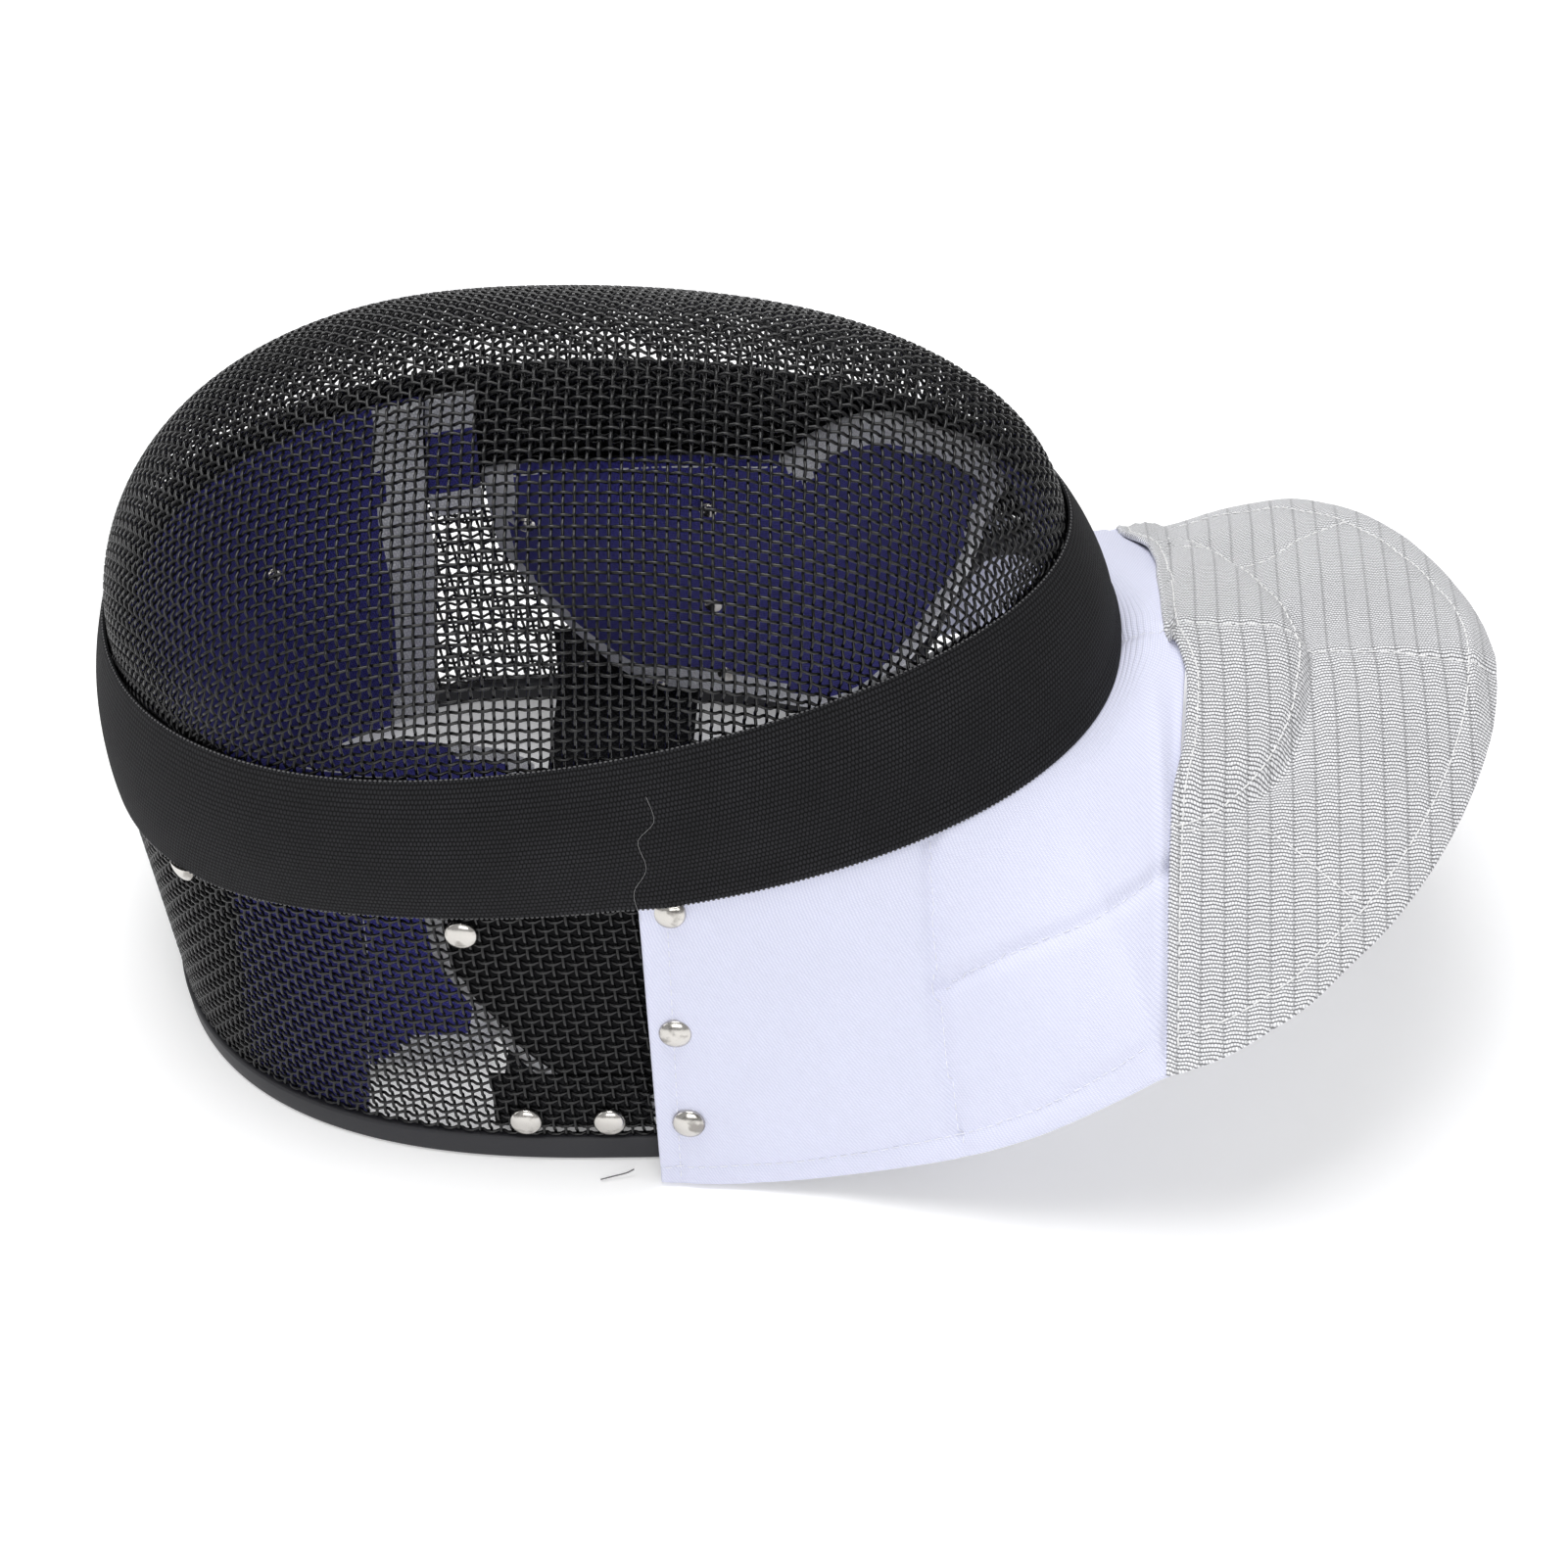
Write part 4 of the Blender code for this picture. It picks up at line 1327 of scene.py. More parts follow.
@dataclass
class RimTrim:
    """Moulded channel round the rear rim and the neck cut-out."""

    cage: Cage
    wardrobe: Wardrobe
    tall: float = 8.0
    outside: float = 0.9
    inside: float = -2.6
    corner: float = 0.9
    stations: int = 320

    def profile(self) -> Array:
        """Rounded section of the channel: rise and distance outside the wires."""
        points = []
        for x, y, start in ((self.outside, self.tall, 0.0), (self.inside, self.tall, 90.0),
                            (self.inside, 0.0, 180.0), (self.outside, 0.0, 270.0)):
            mid_x = x - math.copysign(self.corner, x - 0.5 * (self.inside + self.outside))
            mid_y = y - math.copysign(self.corner, y - 0.5 * self.tall)
            for turn in np.radians(start + np.linspace(0.0, 90.0, 5)):
                points.append((mid_y + self.corner * math.sin(turn),
                               mid_x + self.corner * math.cos(turn)))
        return np.array(points)

    def build(self) -> None:
        """Make the trim."""
        angles = self.cage.even_angles(self.stations, 0.3)
        level = self.cage.edge_level(angles)
        around = self.cage.skin(angles + 1.0, level) - self.cage.skin(angles - 1.0, level)
        sideways = unit(np.stack([around[:, 1], -around[:, 0], np.zeros(len(angles))], -1))
        rise, out = self.profile().T[..., None]
        points = (self.cage.skin(angles[None, :], level[None, :] + rise / self.cage.rise)
                  + sideways[None] * out[..., None])
        rows, columns = points.shape[:2]
        body = Body()
        body.add(points, [quads(rows + 1, columns, True) % (rows * columns)])
        body.place("rim_channel", Slot.TRIM, [self.wardrobe.trim], stands_for=["rim_trim"])


# ------------------------------------------------------------------ bib
@dataclass(frozen=True)
class Panel:
    """Fold line of the white cloth: where it leaves the band and where it ends."""

    angle: float
    x: float
    y: float
    z: float
    swell: float


@dataclass(frozen=True)
class Section:
    """Section across the silver cloth."""

    x: float
    half_wide: float
    middle_z: float
    hem_z: float


@dataclass(frozen=True)
class Seam:
    """How a sewn row draws a cloth in, and how the cloth puckers along it."""

    deep: float
    wide: float
    pucker: float
    wave: float
    reach: float

    def dent(self, cloth: Array, line: Array, number: int) -> Array:
        """Depth of the dent at each point of a cloth.

        Args:
            cloth: points of the cloth.
            line: points of the row.
            number: the row's number, which shifts its puckers.

        Returns:
            Depths.
        """
        away, along = near_line(cloth, resample(line, 4.0))
        puckers = self.pucker * np.sin(along / self.wave + number) * bell(away, self.reach)
        return self.deep * bell(away, self.wide) + puckers


QUILTED = Seam(1.5, 2.4, 0.35, 4.2, 7.0)
EDGING = Seam(0.6, 1.7, 0.2, 4.2, 7.0)


@dataclass
class BibShape:
    """Shape that both cloths of the bib share."""

    cage: Cage
    seam_x: float = 163.0
    arch_power: float = 1.3
    top_level: float = 0.993
    bend: float = 0.55
    tip_half: float = 42.0
    left_drop: float = 0.25
    left_pull: Table = (
        (90.0, 0.0), (122.0, 7.5), (138.0, 8.5), (150.0, 5.0), (164.0, 0.0), (180.0, -0.5),
        (235.0, 0.5), (248.0, 3.0), (257.0, 3.0))
    hem_panels: tuple[Panel, ...] = (
        Panel(85.6, 21.0, 110.5, 0.6, 1.0), Panel(78.0, 38.0, 111.0, 1.2, 1.5),
        Panel(68.0, 64.0, 112.0, 5.5, 2.5), Panel(60.0, 86.0, 114.5, 13.0, 4.0),
        Panel(52.5, 106.5, 117.0, 21.5, 3.5), Panel(46.0, 130.0, 119.0, 34.5, 6.0),
        Panel(39.0, 150.0, 118.5, 48.0, 7.0), Panel(32.0, 163.0, 118.0, 58.0, 7.0),
    )
    seam_panels: tuple[Panel, ...] = (
        Panel(32.0, 163.0, 118.0, 58.0, 7.0), Panel(23.5, 163.0, 92.0, 0.0, 6.0),
        Panel(15.5, 163.0, 62.0, 0.0, 5.0), Panel(7.5, 163.0, 31.0, 0.0, 4.0),
        Panel(0.0, 163.0, 0.0, 0.0, 3.0),
    )
    sections: tuple[Section, ...] = (
        Section(163.0, 118.0, 121.0, 58.0), Section(171.0, 117.6, 120.2, 61.5),
        Section(180.0, 116.3, 118.9, 66.0), Section(190.0, 113.2, 117.4, 71.8),
        Section(200.5, 108.8, 116.1, 77.7), Section(212.5, 98.6, 115.1, 84.2),
        Section(225.5, 85.4, 114.3, 89.8), Section(236.6, 69.2, 113.7, 94.5),
        Section(245.6, 50.6, 113.3, 98.9), Section(251.2, 34.5, 113.3, 101.8),
        Section(254.4, 21.0, 113.4, 103.8), Section(255.7, 9.0, 113.6, 106.0),
    )

    def pulled(self, points: Array) -> Array:
        """Points with the left side drawn in a little, as the cloth lies."""
        x, y, z = np.moveaxis(points, -1, 0)
        half = np.interp(x, [s.x for s in self.sections], [s.half_wide for s in self.sections])
        pull = np.interp(x, *zip(*self.left_pull)) * smooth(y / half, 0.35, 0.95)
        return np.stack([x, y - pull, z - self.left_drop * pull], -1)

    def arch(self, y: Array, half_wide: Array, middle_z: Array, hem_z: Array) -> Array:
        """Height of the bib across a section."""
        share = np.clip(np.abs(y) / half_wide, 0.0, 1.0)
        return middle_z - (middle_z - hem_z) * share ** self.arch_power

    def fold_lines(self, column: Array, share: Array) -> Array:
        """Points of the white cloth on the right side.

        Args:
            column: 0 at the rear edge, 7 at the corner of hem and seam, 11 in the middle.
            share: 0 at the hem or the seam, 1 at the band.

        Returns:
            Points of the cloth's outer face.
        """
        column, share = np.broadcast_arrays(np.asarray(column, float), np.asarray(share, float))
        hem = Curve(range(8), [astuple(p) for p in self.hem_panels])(column)
        seam = Curve(range(7, 12), [astuple(p) for p in self.seam_panels])(column)
        every = [p.angle for p in self.hem_panels] + [p.angle for p in self.seam_panels[1:]]
        angle = Curve(range(12), every)(column)
        on_hem = (column <= 7.0)[..., None]
        _, x, y, z, swell = np.moveaxis(np.where(on_hem, hem, seam), -1, 0)
        first = self.sections[0]
        z = np.where(on_hem[..., 0], z, self.arch(y, first.half_wide, first.middle_z, first.hem_z))
        low = np.stack([x, -y, z], -1)
        top = self.cage.point(-angle, self.top_level, GAP + 1.2)
        outward = self.cage.normal(-angle, 0.5) + ((x / self.seam_x) ** 2)[..., None] * UP
        middle = low + (top - low) * self.bend + unit(outward) * swell[..., None]
        t = share[..., None]
        return low * (1 - t) ** 2 + middle * 2 * t * (1 - t) + top * t * t

    def silver(self, x: Array, y: Array, half: Array | None = None) -> Array:
        """Height of the silver cloth before its tuck, with the row's half width if it is known."""
        table = [astuple(section) for section in self.sections]
        half_wide, middle_z, hem_z = np.moveaxis(Curve([row[0] for row in table],
                                                       [row[1:] for row in table])(x), -1, 0)
        half_wide = half_wide if half is None else half
        middle_z = hem_z + (middle_z - hem_z) * np.minimum(half_wide / self.tip_half, 1.0)
        return self.arch(y, half_wide, middle_z, hem_z)


@dataclass
class WhiteBib:
    """White cloth from the band down to the hem and the silver part."""

    shape: BibShape
    wardrobe: Wardrobe
    thick: float = 2.2
    top_thick: float = 1.2
    step: float = 1.5
    lap: float = 4.0
    under: float = 2.5
    sag: float = 1.1
    tree: BVHTree | None = None

    def middle_line(self) -> Array:
        """Seam down the middle of the throat."""
        return self.shape.fold_lines(11.0, np.linspace(1.0, 0.0, 30))

    def drawn(self, *points: Place) -> Array:
        """Smooth line through a few points, laid on the cloth."""
        return seat(self.tree, smoothed(np.array(points), 40))[0]

    def upright_line(self) -> Array:
        """Seam from the band to the hem at the side of the throat."""
        return self.drawn((97.0, -72.0, 108.0), (99.0, -90.0, 78.0), (101.0, -100.0, 58.0),
                          (104.5, -109.0, 38.0), (107.5, -115.0, 24.0))

    def slanting_line(self) -> Array:
        """Quilting from that seam up to the silver part."""
        return self.drawn((100.0, -96.0, 67.0), (119.0, -92.0, 78.0), (139.0, -87.0, 85.0),
                          (164.0, -68.0, 90.0))

    def hem_line(self) -> Array:
        """Stitching along the hem."""
        column = np.linspace(0.05, 6.9, 120)
        share = np.interp(column, (0.0, 5.0, 7.0), (0.055, 0.075, 0.10))
        return self.shape.fold_lines(column, share)

    def rear_line(self) -> Array:
        """Stitching along the rear edge."""
        return self.shape.fold_lines(0.36, np.linspace(0.02, 0.98, 60))

    def grid(self) -> tuple[Array, Array]:
        """Outer face of the whole cloth, with the right half's columns."""
        base = self.shape.fold_lines(np.linspace(0.0, 11.0, 400), 0.3)
        travelled = run_length(base)
        across = stops(float(travelled[-1]) * 2.0, self.step, 1.1)
        across = across[across <= travelled[-1]]
        column = np.interp(across, travelled, np.linspace(0.0, 11.0, 400))
        column[-1] = 11.0
        up = stops(100.0, self.step, 1.1)
        half = self.shape.fold_lines(column[None, :], (up / up[-1])[:, None])
        half[:, -1, 1] = 0.0
        other = half[:, -2::-1] * MIRROR
        return self.shape.pulled(np.concatenate([half, other], axis=1)), column

    def build(self) -> None:
        """Make the cloth, then its stitching."""
        outer, column = self.grid()
        out = sheet_normals(outer, np.array([0.3, 0.0, 1.0]))
        spread = Spread.of(outer)
        to_hem, to_band, edge = spread.up, spread.down, spread.edge
        lapped = smooth(column, 6.8, 7.4)
        lapped = np.concatenate([lapped, lapped[-2::-1]])[None, :]
        outer[..., 0] += self.lap * lapped * smooth(to_hem, 14.0, 0.0)
        whole = self.thick + (self.top_thick - self.thick) * smooth(to_band, 14.0, 2.0)
        thick = rolled(edge, whole)
        dent = 0.5 * (whole - thick) + self.under * lapped * smooth(to_hem, 10.0, 3.0)
        plain = Body()
        plain.add(outer, [quads(*outer.shape[:2])])
        self.tree = plain.tree()
        right = [(self.upright_line(), QUILTED), (self.slanting_line(), QUILTED),
                 (self.hem_line(), EDGING), (self.rear_line(), EDGING)]
        left = [(self.shape.pulled(line * MIRROR), seam) for line, seam in right]
        sewn = [*right, *left, (self.middle_line(), QUILTED)]
        for number, (line, seam) in enumerate(sewn):
            dent = dent + seam.dent(outer, line, number)
        x, _, z = np.moveaxis(outer, -1, 0)
        sag = self.sag * np.sin(x / 19.0 + z / 23.0) * np.sin(z / 27.0 + 0.4 * np.sin(x / 31.0))
        dent = dent + sag * smooth(to_band, 6.0, 30.0) * smooth(edge, 2.0, 14.0)
        middle = spread.across[:, outer.shape[1] // 2][:, None]
        body = Body()
        body.shell(outer - out * dent[..., None], out, thick,
                   np.stack([spread.across - middle, to_band], -1))
        self.tree = body.tree()
        made = body.place("white_bib_cloth", Slot.WHITE, [self.wardrobe.white],
                          stands_for=["bib_upper"])
        thread = Body()
        for line, _ in sewn:
            Stitch(pitch=3.2, length=2.1, radius=0.17, lift=0.1).sew(thread, self.tree, line)
        stitches = thread.place("white_bib_stitches", Slot.WHITE, [self.wardrobe.white_thread])


@dataclass
class SilverBib:
    """Silver cloth from the throat to the tip, with its curved tuck."""

    shape: BibShape
    wardrobe: Wardrobe
    white: WhiteBib
    thick: float = 2.2
    step: float = 1.35
    hem_in: float = 8.5
    rib_bend: float = 2.2
    pouch_high: float = 4.2
    valley_deep: float = 6.0
    valley_more: float = 4.6          # how much deeper the valley is on the left side
    fold_high: float = 1.2
    hang_high: float = 0.9
    seam: Table = (
        (-118.0, 163.0), (-84.0, 163.0), (-53.0, 163.8), (-36.0, 166.8), (-19.0, 167.6),
        (-9.0, 165.6), (0.0, 161.5), (29.0, 160.3), (56.0, 157.8), (74.0, 150.0), (118.0, 146.0))
    tuck: Table = (
        (-58.5, 163.0), (-56.5, 173.5), (-51.0, 182.5), (-40.0, 192.5), (-23.0, 199.0),
        (-6.0, 201.0), (10.0, 198.0), (33.0, 189.7), (52.0, 181.0), (77.0, 171.0), (88.0, 164.0))

    def seam_at(self, y: Array) -> Array:
        """Rear edge of the cloth: it laps a little over the white, more on the left side."""
        return Curve(*zip(*self.seam))(y)

    def tuck_line(self) -> Array:
        """Places, seen from above, along the tuck's folded edge."""
        return smoothed(np.array(self.tuck)[:, ::-1], 160)

    def relief(self, x: Array, y: Array) -> Array:
        """Height that the pouch, the tuck's valley and the hang of the cloth add."""
        line = self.tuck_line()
        away, _ = near_line(np.stack([x, y], -1), line)
        order = np.argsort(line[:, 1])
        inside = x < np.interp(y, line[order, 1], line[order, 0], left=0.0, right=0.0)
        ends = smooth(y, -60.0, -42.0) * smooth(y, 92.0, 62.0)
        left = smooth(y, -14.0, 16.0)
        pouch = self.pouch_high * (1.0 - np.exp(-away / 4.0)) * bell(away, 24.0)
        deep = (self.valley_deep + self.valley_more * left) * smooth(away, -0.6, 3.2)
        valley = -deep * np.exp(-away / (8.0 + 7.0 * left))
        folds = self.fold_high * left * np.sin(away / 3.4) * np.exp(-away / 13.0)
        hang = self.hang_high * np.sin(x / 13.0 + 0.6) * np.sin(y / 24.0) * smooth(x, 200.0, 220.0)
        return ends * np.where(inside, pouch, valley + folds) + hang

    def height(self, x: Array, y: Array, half: Array | None = None) -> Array:
        """Height of the cloth's outer face, with the half width of the row if it is known."""
        z = self.shape.silver(np.maximum(x, self.shape.seam_x), y, half)
        tree = self.white.tree
        lapped = x < self.shape.seam_x
        moved = self.shape.pulled(np.stack([x, y, z], -1))
        for at in zip(*np.nonzero(lapped)):
            for inward in (0.0, 2.0, 4.0, 7.0):      # further in where the first misses the cloth
                start = Vector((x[at], moved[at][1] - math.copysign(inward, y[at]), 400.0))
                place = tree.ray_cast(start, Vector(-UP))[0]
                if place is not None:
                    z[at] = place.z + z[at] - moved[at][2] - 1.2 * inward
                    break
        lift = 0.7 * self.thick * smooth(x, self.shape.seam_x + 4.0, self.shape.seam_x - 6.0)
        return z + lift + self.relief(x, y)

    def rim(self, at: Array | None = None) -> Array:
        """Outline of one half as x and half width, all of it or at distances from the seam."""
        line = np.array([(s.x, s.half_wide) for s in self.shape.sections] + [(256.0, 0.0)])
        travelled = run_length(line)
        return Curve(travelled, line)(np.linspace(0.0, travelled[-1], 300) if at is None else at)

    def build(self) -> None:
        """Make the cloth, then its stitching."""
        long = float(run_length(self.rim())[-1])
        x_row, half = np.moveaxis(self.rim(stops(long, self.step, 1.1)), -1, 0)
        half = np.maximum(half, 0.4)
        share = stops(2.0, 0.0135, 0.012) - 1.0
        lap = smooth(x_row, self.shape.seam_x + 14.0, self.shape.seam_x)
        y = half[:, None] * share[None, :]
        x = x_row[:, None] + (self.seam_at(y) - self.shape.seam_x) * lap[:, None]
        outer = self.shape.pulled(np.stack([x, y, self.height(x, y, half[:, None])], -1))
        out = sheet_normals(outer, UP)
        thick = rolled(Spread.of(outer).edge, self.thick)
        dent = 0.5 * (self.thick - thick)
        sewn = self.lines()
        for number, (line, deep) in enumerate(sewn):
            dent = dent + Seam(deep, 1.5, 0.2, 3.6, 5.0).dent(outer, line, number)
        plain = run_length(np.stack([x, y, self.shape.silver(x, y, half[:, None])], -1))
        bent = self.rib_bend * (1.0 - np.exp(np.minimum(y, 0.0) / 14.0))
        flat = np.stack([x - bent, plain - plain[:, plain.shape[1] // 2][:, None]], -1)
        body = Body()
        body.shell(outer - out * dent[..., None], out, thick, flat)
        tree = body.tree()
        made = body.place("silver_bib_cloth", Slot.SILVER, [self.wardrobe.silver],
                          stands_for=["bib_lower"])
        thread = Body()
        for line, _ in sewn:
            Stitch(pitch=3.6, length=2.8, radius=0.27, lift=0.22).sew(thread, tree, line)
        stitches = thread.place("silver_bib_stitches", Slot.SILVER, [self.wardrobe.silver_thread])

    def lifted(self, x: Array, y: Array) -> Array:
        """Points on the cloth at places seen from above."""
        x, y = np.broadcast_arrays(np.asarray(x, float), np.asarray(y, float))
        return self.shape.pulled(np.stack([x, y, self.height(x, y)], -1))

    def lines(self) -> list[tuple[Array, float]]:
        """Sewn lines with the depth of each: middle, rear edge, tuck, hem and two slanting."""
        y = np.linspace(-112.0, 112.0, 200)
        tuck = self.tuck_line()
        rim = self.rim()
        rim = np.concatenate([rim * (1.0, -1.0), rim[-2::-1]])
        ahead = unit(np.gradient(rim, axis=0))
        hem = rim + np.stack([-ahead[:, 1], ahead[:, 0]], -1) * self.hem_in
        hem = hem[hem[:, 0] > 166.0]
        slant_x = np.linspace(167.0, 219.0, 60)
        slant_y = -59.5 - 24.0 * smooth(slant_x, 185.0, 222.0)
        middle = np.linspace(152.0, 254.5, 160)
        places = ((middle, -4.5 * smooth(middle, 195.0, 250.0), 0.7),
                  (self.seam_at(y) + 3.2, y, 0.5), (tuck[:, 0] - 1.3, tuck[:, 1], 0.55),
                  (*hem.T, 0.55), (slant_x, slant_y, 0.5), (slant_x, -slant_y, 0.5))
        return [(self.lifted(x, y), deep) for x, y, deep in places]


# ------------------------------------------------------------------ lining
@dataclass(frozen=True)
class PadEdge:
    """Where a pad begins and ends at one angle."""

    angle: float
    low: float
    high: float


@dataclass(frozen=True)
class PadPlan:
    """One pad of the lining, and how wide its grey binding is along each edge."""

    thick: float
    edges: tuple[PadEdge, ...]
    mirrored: bool = False
    fill: float = 0.5
    edge_thick: float = 4.2
    bound_ends: float = 0.0
    bound_low: float = 0.0
    bound_high: Table = ((0.0, 0.0), (180.0, 0.0))

    def levels(self, angle: Array | float) -> Array:
        """Lower and upper level at an angle."""
        return Curve([e.angle for e in self.edges], [(e.low, e.high) for e in self.edges])(angle)

    def whole(self, edge: Array | float) -> Array:
        """Thickness by distance from the nearest edge."""
        return self.edge_thick + (self.thick - self.edge_thick) * smooth(edge, 6.0, 26.0)


CROWN = PadPlan(9.0, tuple(
    PadEdge(angle, 0.03, 1.95)
    for angle in (118.0, 121.0, 128.0, 136.0, 146.0, 157.0, 168.0, 180.0)),
    mirrored=True, edge_thick=7.0, bound_ends=15.0)
TEMPLE = PadPlan(6.0, tuple(
    PadEdge(angle, 0.95, 1.95) for angle in (106.4, 109.0, 112.0, 115.5, 117.5)),
    bound_low=8.0, bound_high=((0.0, 16.0), (180.0, 16.0)))
CHEEK = PadPlan(9.0, (
    PadEdge(32.5, 1.66, 1.96), PadEdge(36.0, 1.45, 1.97), PadEdge(42.0, 1.06, 1.97),
    PadEdge(46.0, 0.84, 1.97), PadEdge(53.0, 0.59, 1.96), PadEdge(61.0, 0.33, 1.78),
    PadEdge(68.0, 0.15, 1.52), PadEdge(73.0, 0.09, 1.30), PadEdge(78.0, 0.085, 1.27),
    PadEdge(83.0, 0.10, 1.26), PadEdge(88.0, 0.115, 1.25), PadEdge(92.0, 0.13, 1.24),
    PadEdge(96.0, 0.25, 1.24), PadEdge(100.0, 0.43, 1.24), PadEdge(103.0, 0.61, 1.23),
    PadEdge(105.8, 0.80, 1.22)), edge_thick=7.0, bound_ends=10.0, bound_low=10.0,
    bound_high=((0.0, 10.0), (66.0, 10.0), (70.0, 14.0), (72.5, 0.0), (180.0, 0.0)))
CHIN = PadPlan(12.0, (
    PadEdge(0.0, 1.0, 1.95), PadEdge(10.0, 1.0, 1.95), PadEdge(20.0, 1.0, 1.95),
    PadEdge(27.0, 1.1, 1.94), PadEdge(30.8, 1.35, 1.9)), mirrored=True, fill=0.7, bound_low=6.0)


BLUE, BLACK, GREY = range(3)                # faces of the lining, in the wardrobe's order


@dataclass
class Lining:
    """Padded lining inside the wires: black towards them, blue towards the head, bound in grey."""

    cage: Cage
    wardrobe: Wardrobe
    out: float = -2.95
    step: float = 3.0
    held_edge: float = 9.0
    pressure: float = 3.0
    most_puff: float = 3.0
    frames: int = 20
    blue_ends: float = 41.0
    lean: Table = (
        (0.0, 3.0), (0.18, 1.0), (0.35, 0.0), (0.65, -3.0), (0.95, -4.3), (1.35, -4.5),
        (1.95, -4.6))
    lean_at: tuple[float, float, float] = (106.4, 118.0, 150.0)
    stitched: tuple[float, float] = (73.0, 104.0)

    def leaned(self, angle: Array, level: Array) -> Array:
        """Angles with the lean of the crown's front edge: further forward the higher it is."""
        lean = np.interp(level, *zip(*self.lean))
        lean = lean * np.interp(folded(angle), self.lean_at, (0.0, 1.0, 0.0))
        return angle + np.where(angle > 180.0, -lean, lean)

    def pad(self, plan: PadPlan, side: Side, name: str) -> None:
        """Make one pad.

        Args:
            plan: the pad's outline and thickness.
            side: the side it lies on; a mirrored pad crosses the middle.
            name: name of the piece, and of the node that it replaces.
        """
        first, last = plan.edges[0].angle, plan.edges[-1].angle
        if plan.mirrored:
            first, last = (first, 360.0 - first) if last == 180.0 else (-last, last)
        fine = np.linspace(first, last, 400)
        travelled = run_length(self.cage.point(fine, plan.levels(folded(fine)).mean(-1), self.out))
        across = stops(float(travelled[-1]), self.step, 2.1)
        angle = np.interp(across, travelled, fine)
        low, high = np.moveaxis(plan.levels(folded(angle)), -1, 0)
        tall = 80.0 if high.max() - low.min() > 1.2 else 60.0
        share = stops(tall, self.step, 2.1) / tall
        level = low[None, :] + (high - low)[None, :] * share[:, None]
        turned = (1.0 if plan.mirrored else side.value) * self.leaned(angle[None, :], level)
        outer = self.cage.point(turned, level, self.out)
        out = self.cage.normal(turned, level)
        spread = Spread.of(outer)
        bound_high = np.interp(folded(angle), *zip(*plan.bound_high))[None, :]
        inward = np.minimum(np.minimum(spread.side - plan.bound_ends, spread.up - plan.bound_low),
                            spread.down - bound_high)
        bound = of_cells(inward) < 0.0
        if plan is CROWN:
            facing = np.where(of_cells(spread.side) < self.blue_ends, BLUE, BLACK)
        else:
            facing = np.where(bound & (plan is CHEEK), GREY, BLACK)
        body = Body()
        body.rounded_shell(outer, out, plan.whole(spread.edge), spread.edge, spread.flat,
                           looks=(facing, np.where(bound, GREY, BLUE)))
        if plan is CHEEK:
            self.stitch(body.tree(), side)
        made = body.place(name, Slot.LINING, self.wardrobe.lining,
                          stands_for=[name.removeprefix("cloth_")])
        self.puff(made, spread.edge)

    def stitch(self, cloth: BVHTree, side: Side) -> None:
        """Sew the free upper edge of a cheek pad with pale thread.

        Args:
            cloth: search tree of the pad.
            side: the side it lies on.
        """
        angle = np.linspace(*self.stitched, 60)
        high = CHEEK.levels(angle)[:, 1] - 0.04
        line = self.cage.point(side.value * angle, high, self.out - CHEEK.edge_thick)
        thread = Body()
        Stitch(pitch=3.1, length=2.2, radius=0.3, lift=0.25).sew(thread, cloth, line)
        thread.place("lining_stitches_" + side.name.lower(), Slot.LINING,
                     [self.wardrobe.silver_thread])

    def puff(self, made: bpy.types.Object, edge: Array) -> None:
        """Let pressure swell the face towards the head, as its filling does.

        Args:
            made: the pad.
            edge: distance from the edge of each point of the outer face.
        """
        mesh = made.data
        before = np.empty(len(mesh.vertices) * 3)
        mesh.vertices.foreach_get("co", before)
        front = edge.size
        near = np.flatnonzero(edge[1:-1, 1:-1].reshape(-1) < self.held_edge)
        pins = made.vertex_groups.new(name="pins")
        pins.add(list(range(front)) + (front + near).tolist(), 1.0, "REPLACE")
        cloth = made.modifiers.new("filling", "CLOTH")
        settings = cloth.settings
        settings.quality = 4
        settings.use_pressure = True
        settings.uniform_pressure_force = self.pressure
        settings.effector_weights.gravity = 0.0
        settings.vertex_group_mass = "pins"
        settings.tension_stiffness = settings.compression_stiffness = 12.0
        settings.bending_stiffness = 1.5
        cloth.point_cache.frame_end = self.frames
        for number in range(1, self.frames + 1):
            bpy.context.scene.frame_set(number)
        seen = made.evaluated_get(bpy.context.evaluated_depsgraph_get())
        after = np.empty_like(before)
        seen.data.vertices.foreach_get("co", after)
        made.modifiers.clear()
        made.vertex_groups.clear()
        bpy.context.scene.frame_set(1)
        move = (after - before).reshape(-1, 3)
        far = np.linalg.norm(move, axis=1, keepdims=True)
        limit = self.most_puff * MM
        move = move * np.minimum(1.0, limit * np.tanh(far / limit) / np.maximum(far, 1e-9))
        move[:front] = 0.0
        mesh.vertices.foreach_set("co", before + move.reshape(-1))
        mesh.update()
        most = float(np.linalg.norm(move, axis=1).max()) / MM
        log.info("%s: filled, moved up to %.1f mm", made.name, most)

    def build(self) -> None:
        """Make all six pads."""
        self.pad(CROWN, Side.LEFT, "cloth_crown_pad")
        self.pad(CHIN, Side.LEFT, "cloth_chin_pad")
        for side, word in ((Side.RIGHT, "right"), (Side.LEFT, "left")):
            self.pad(TEMPLE, side, "cloth_temple_pad_" + word)
            self.pad(CHEEK, side, "cloth_cheek_pad_" + word)


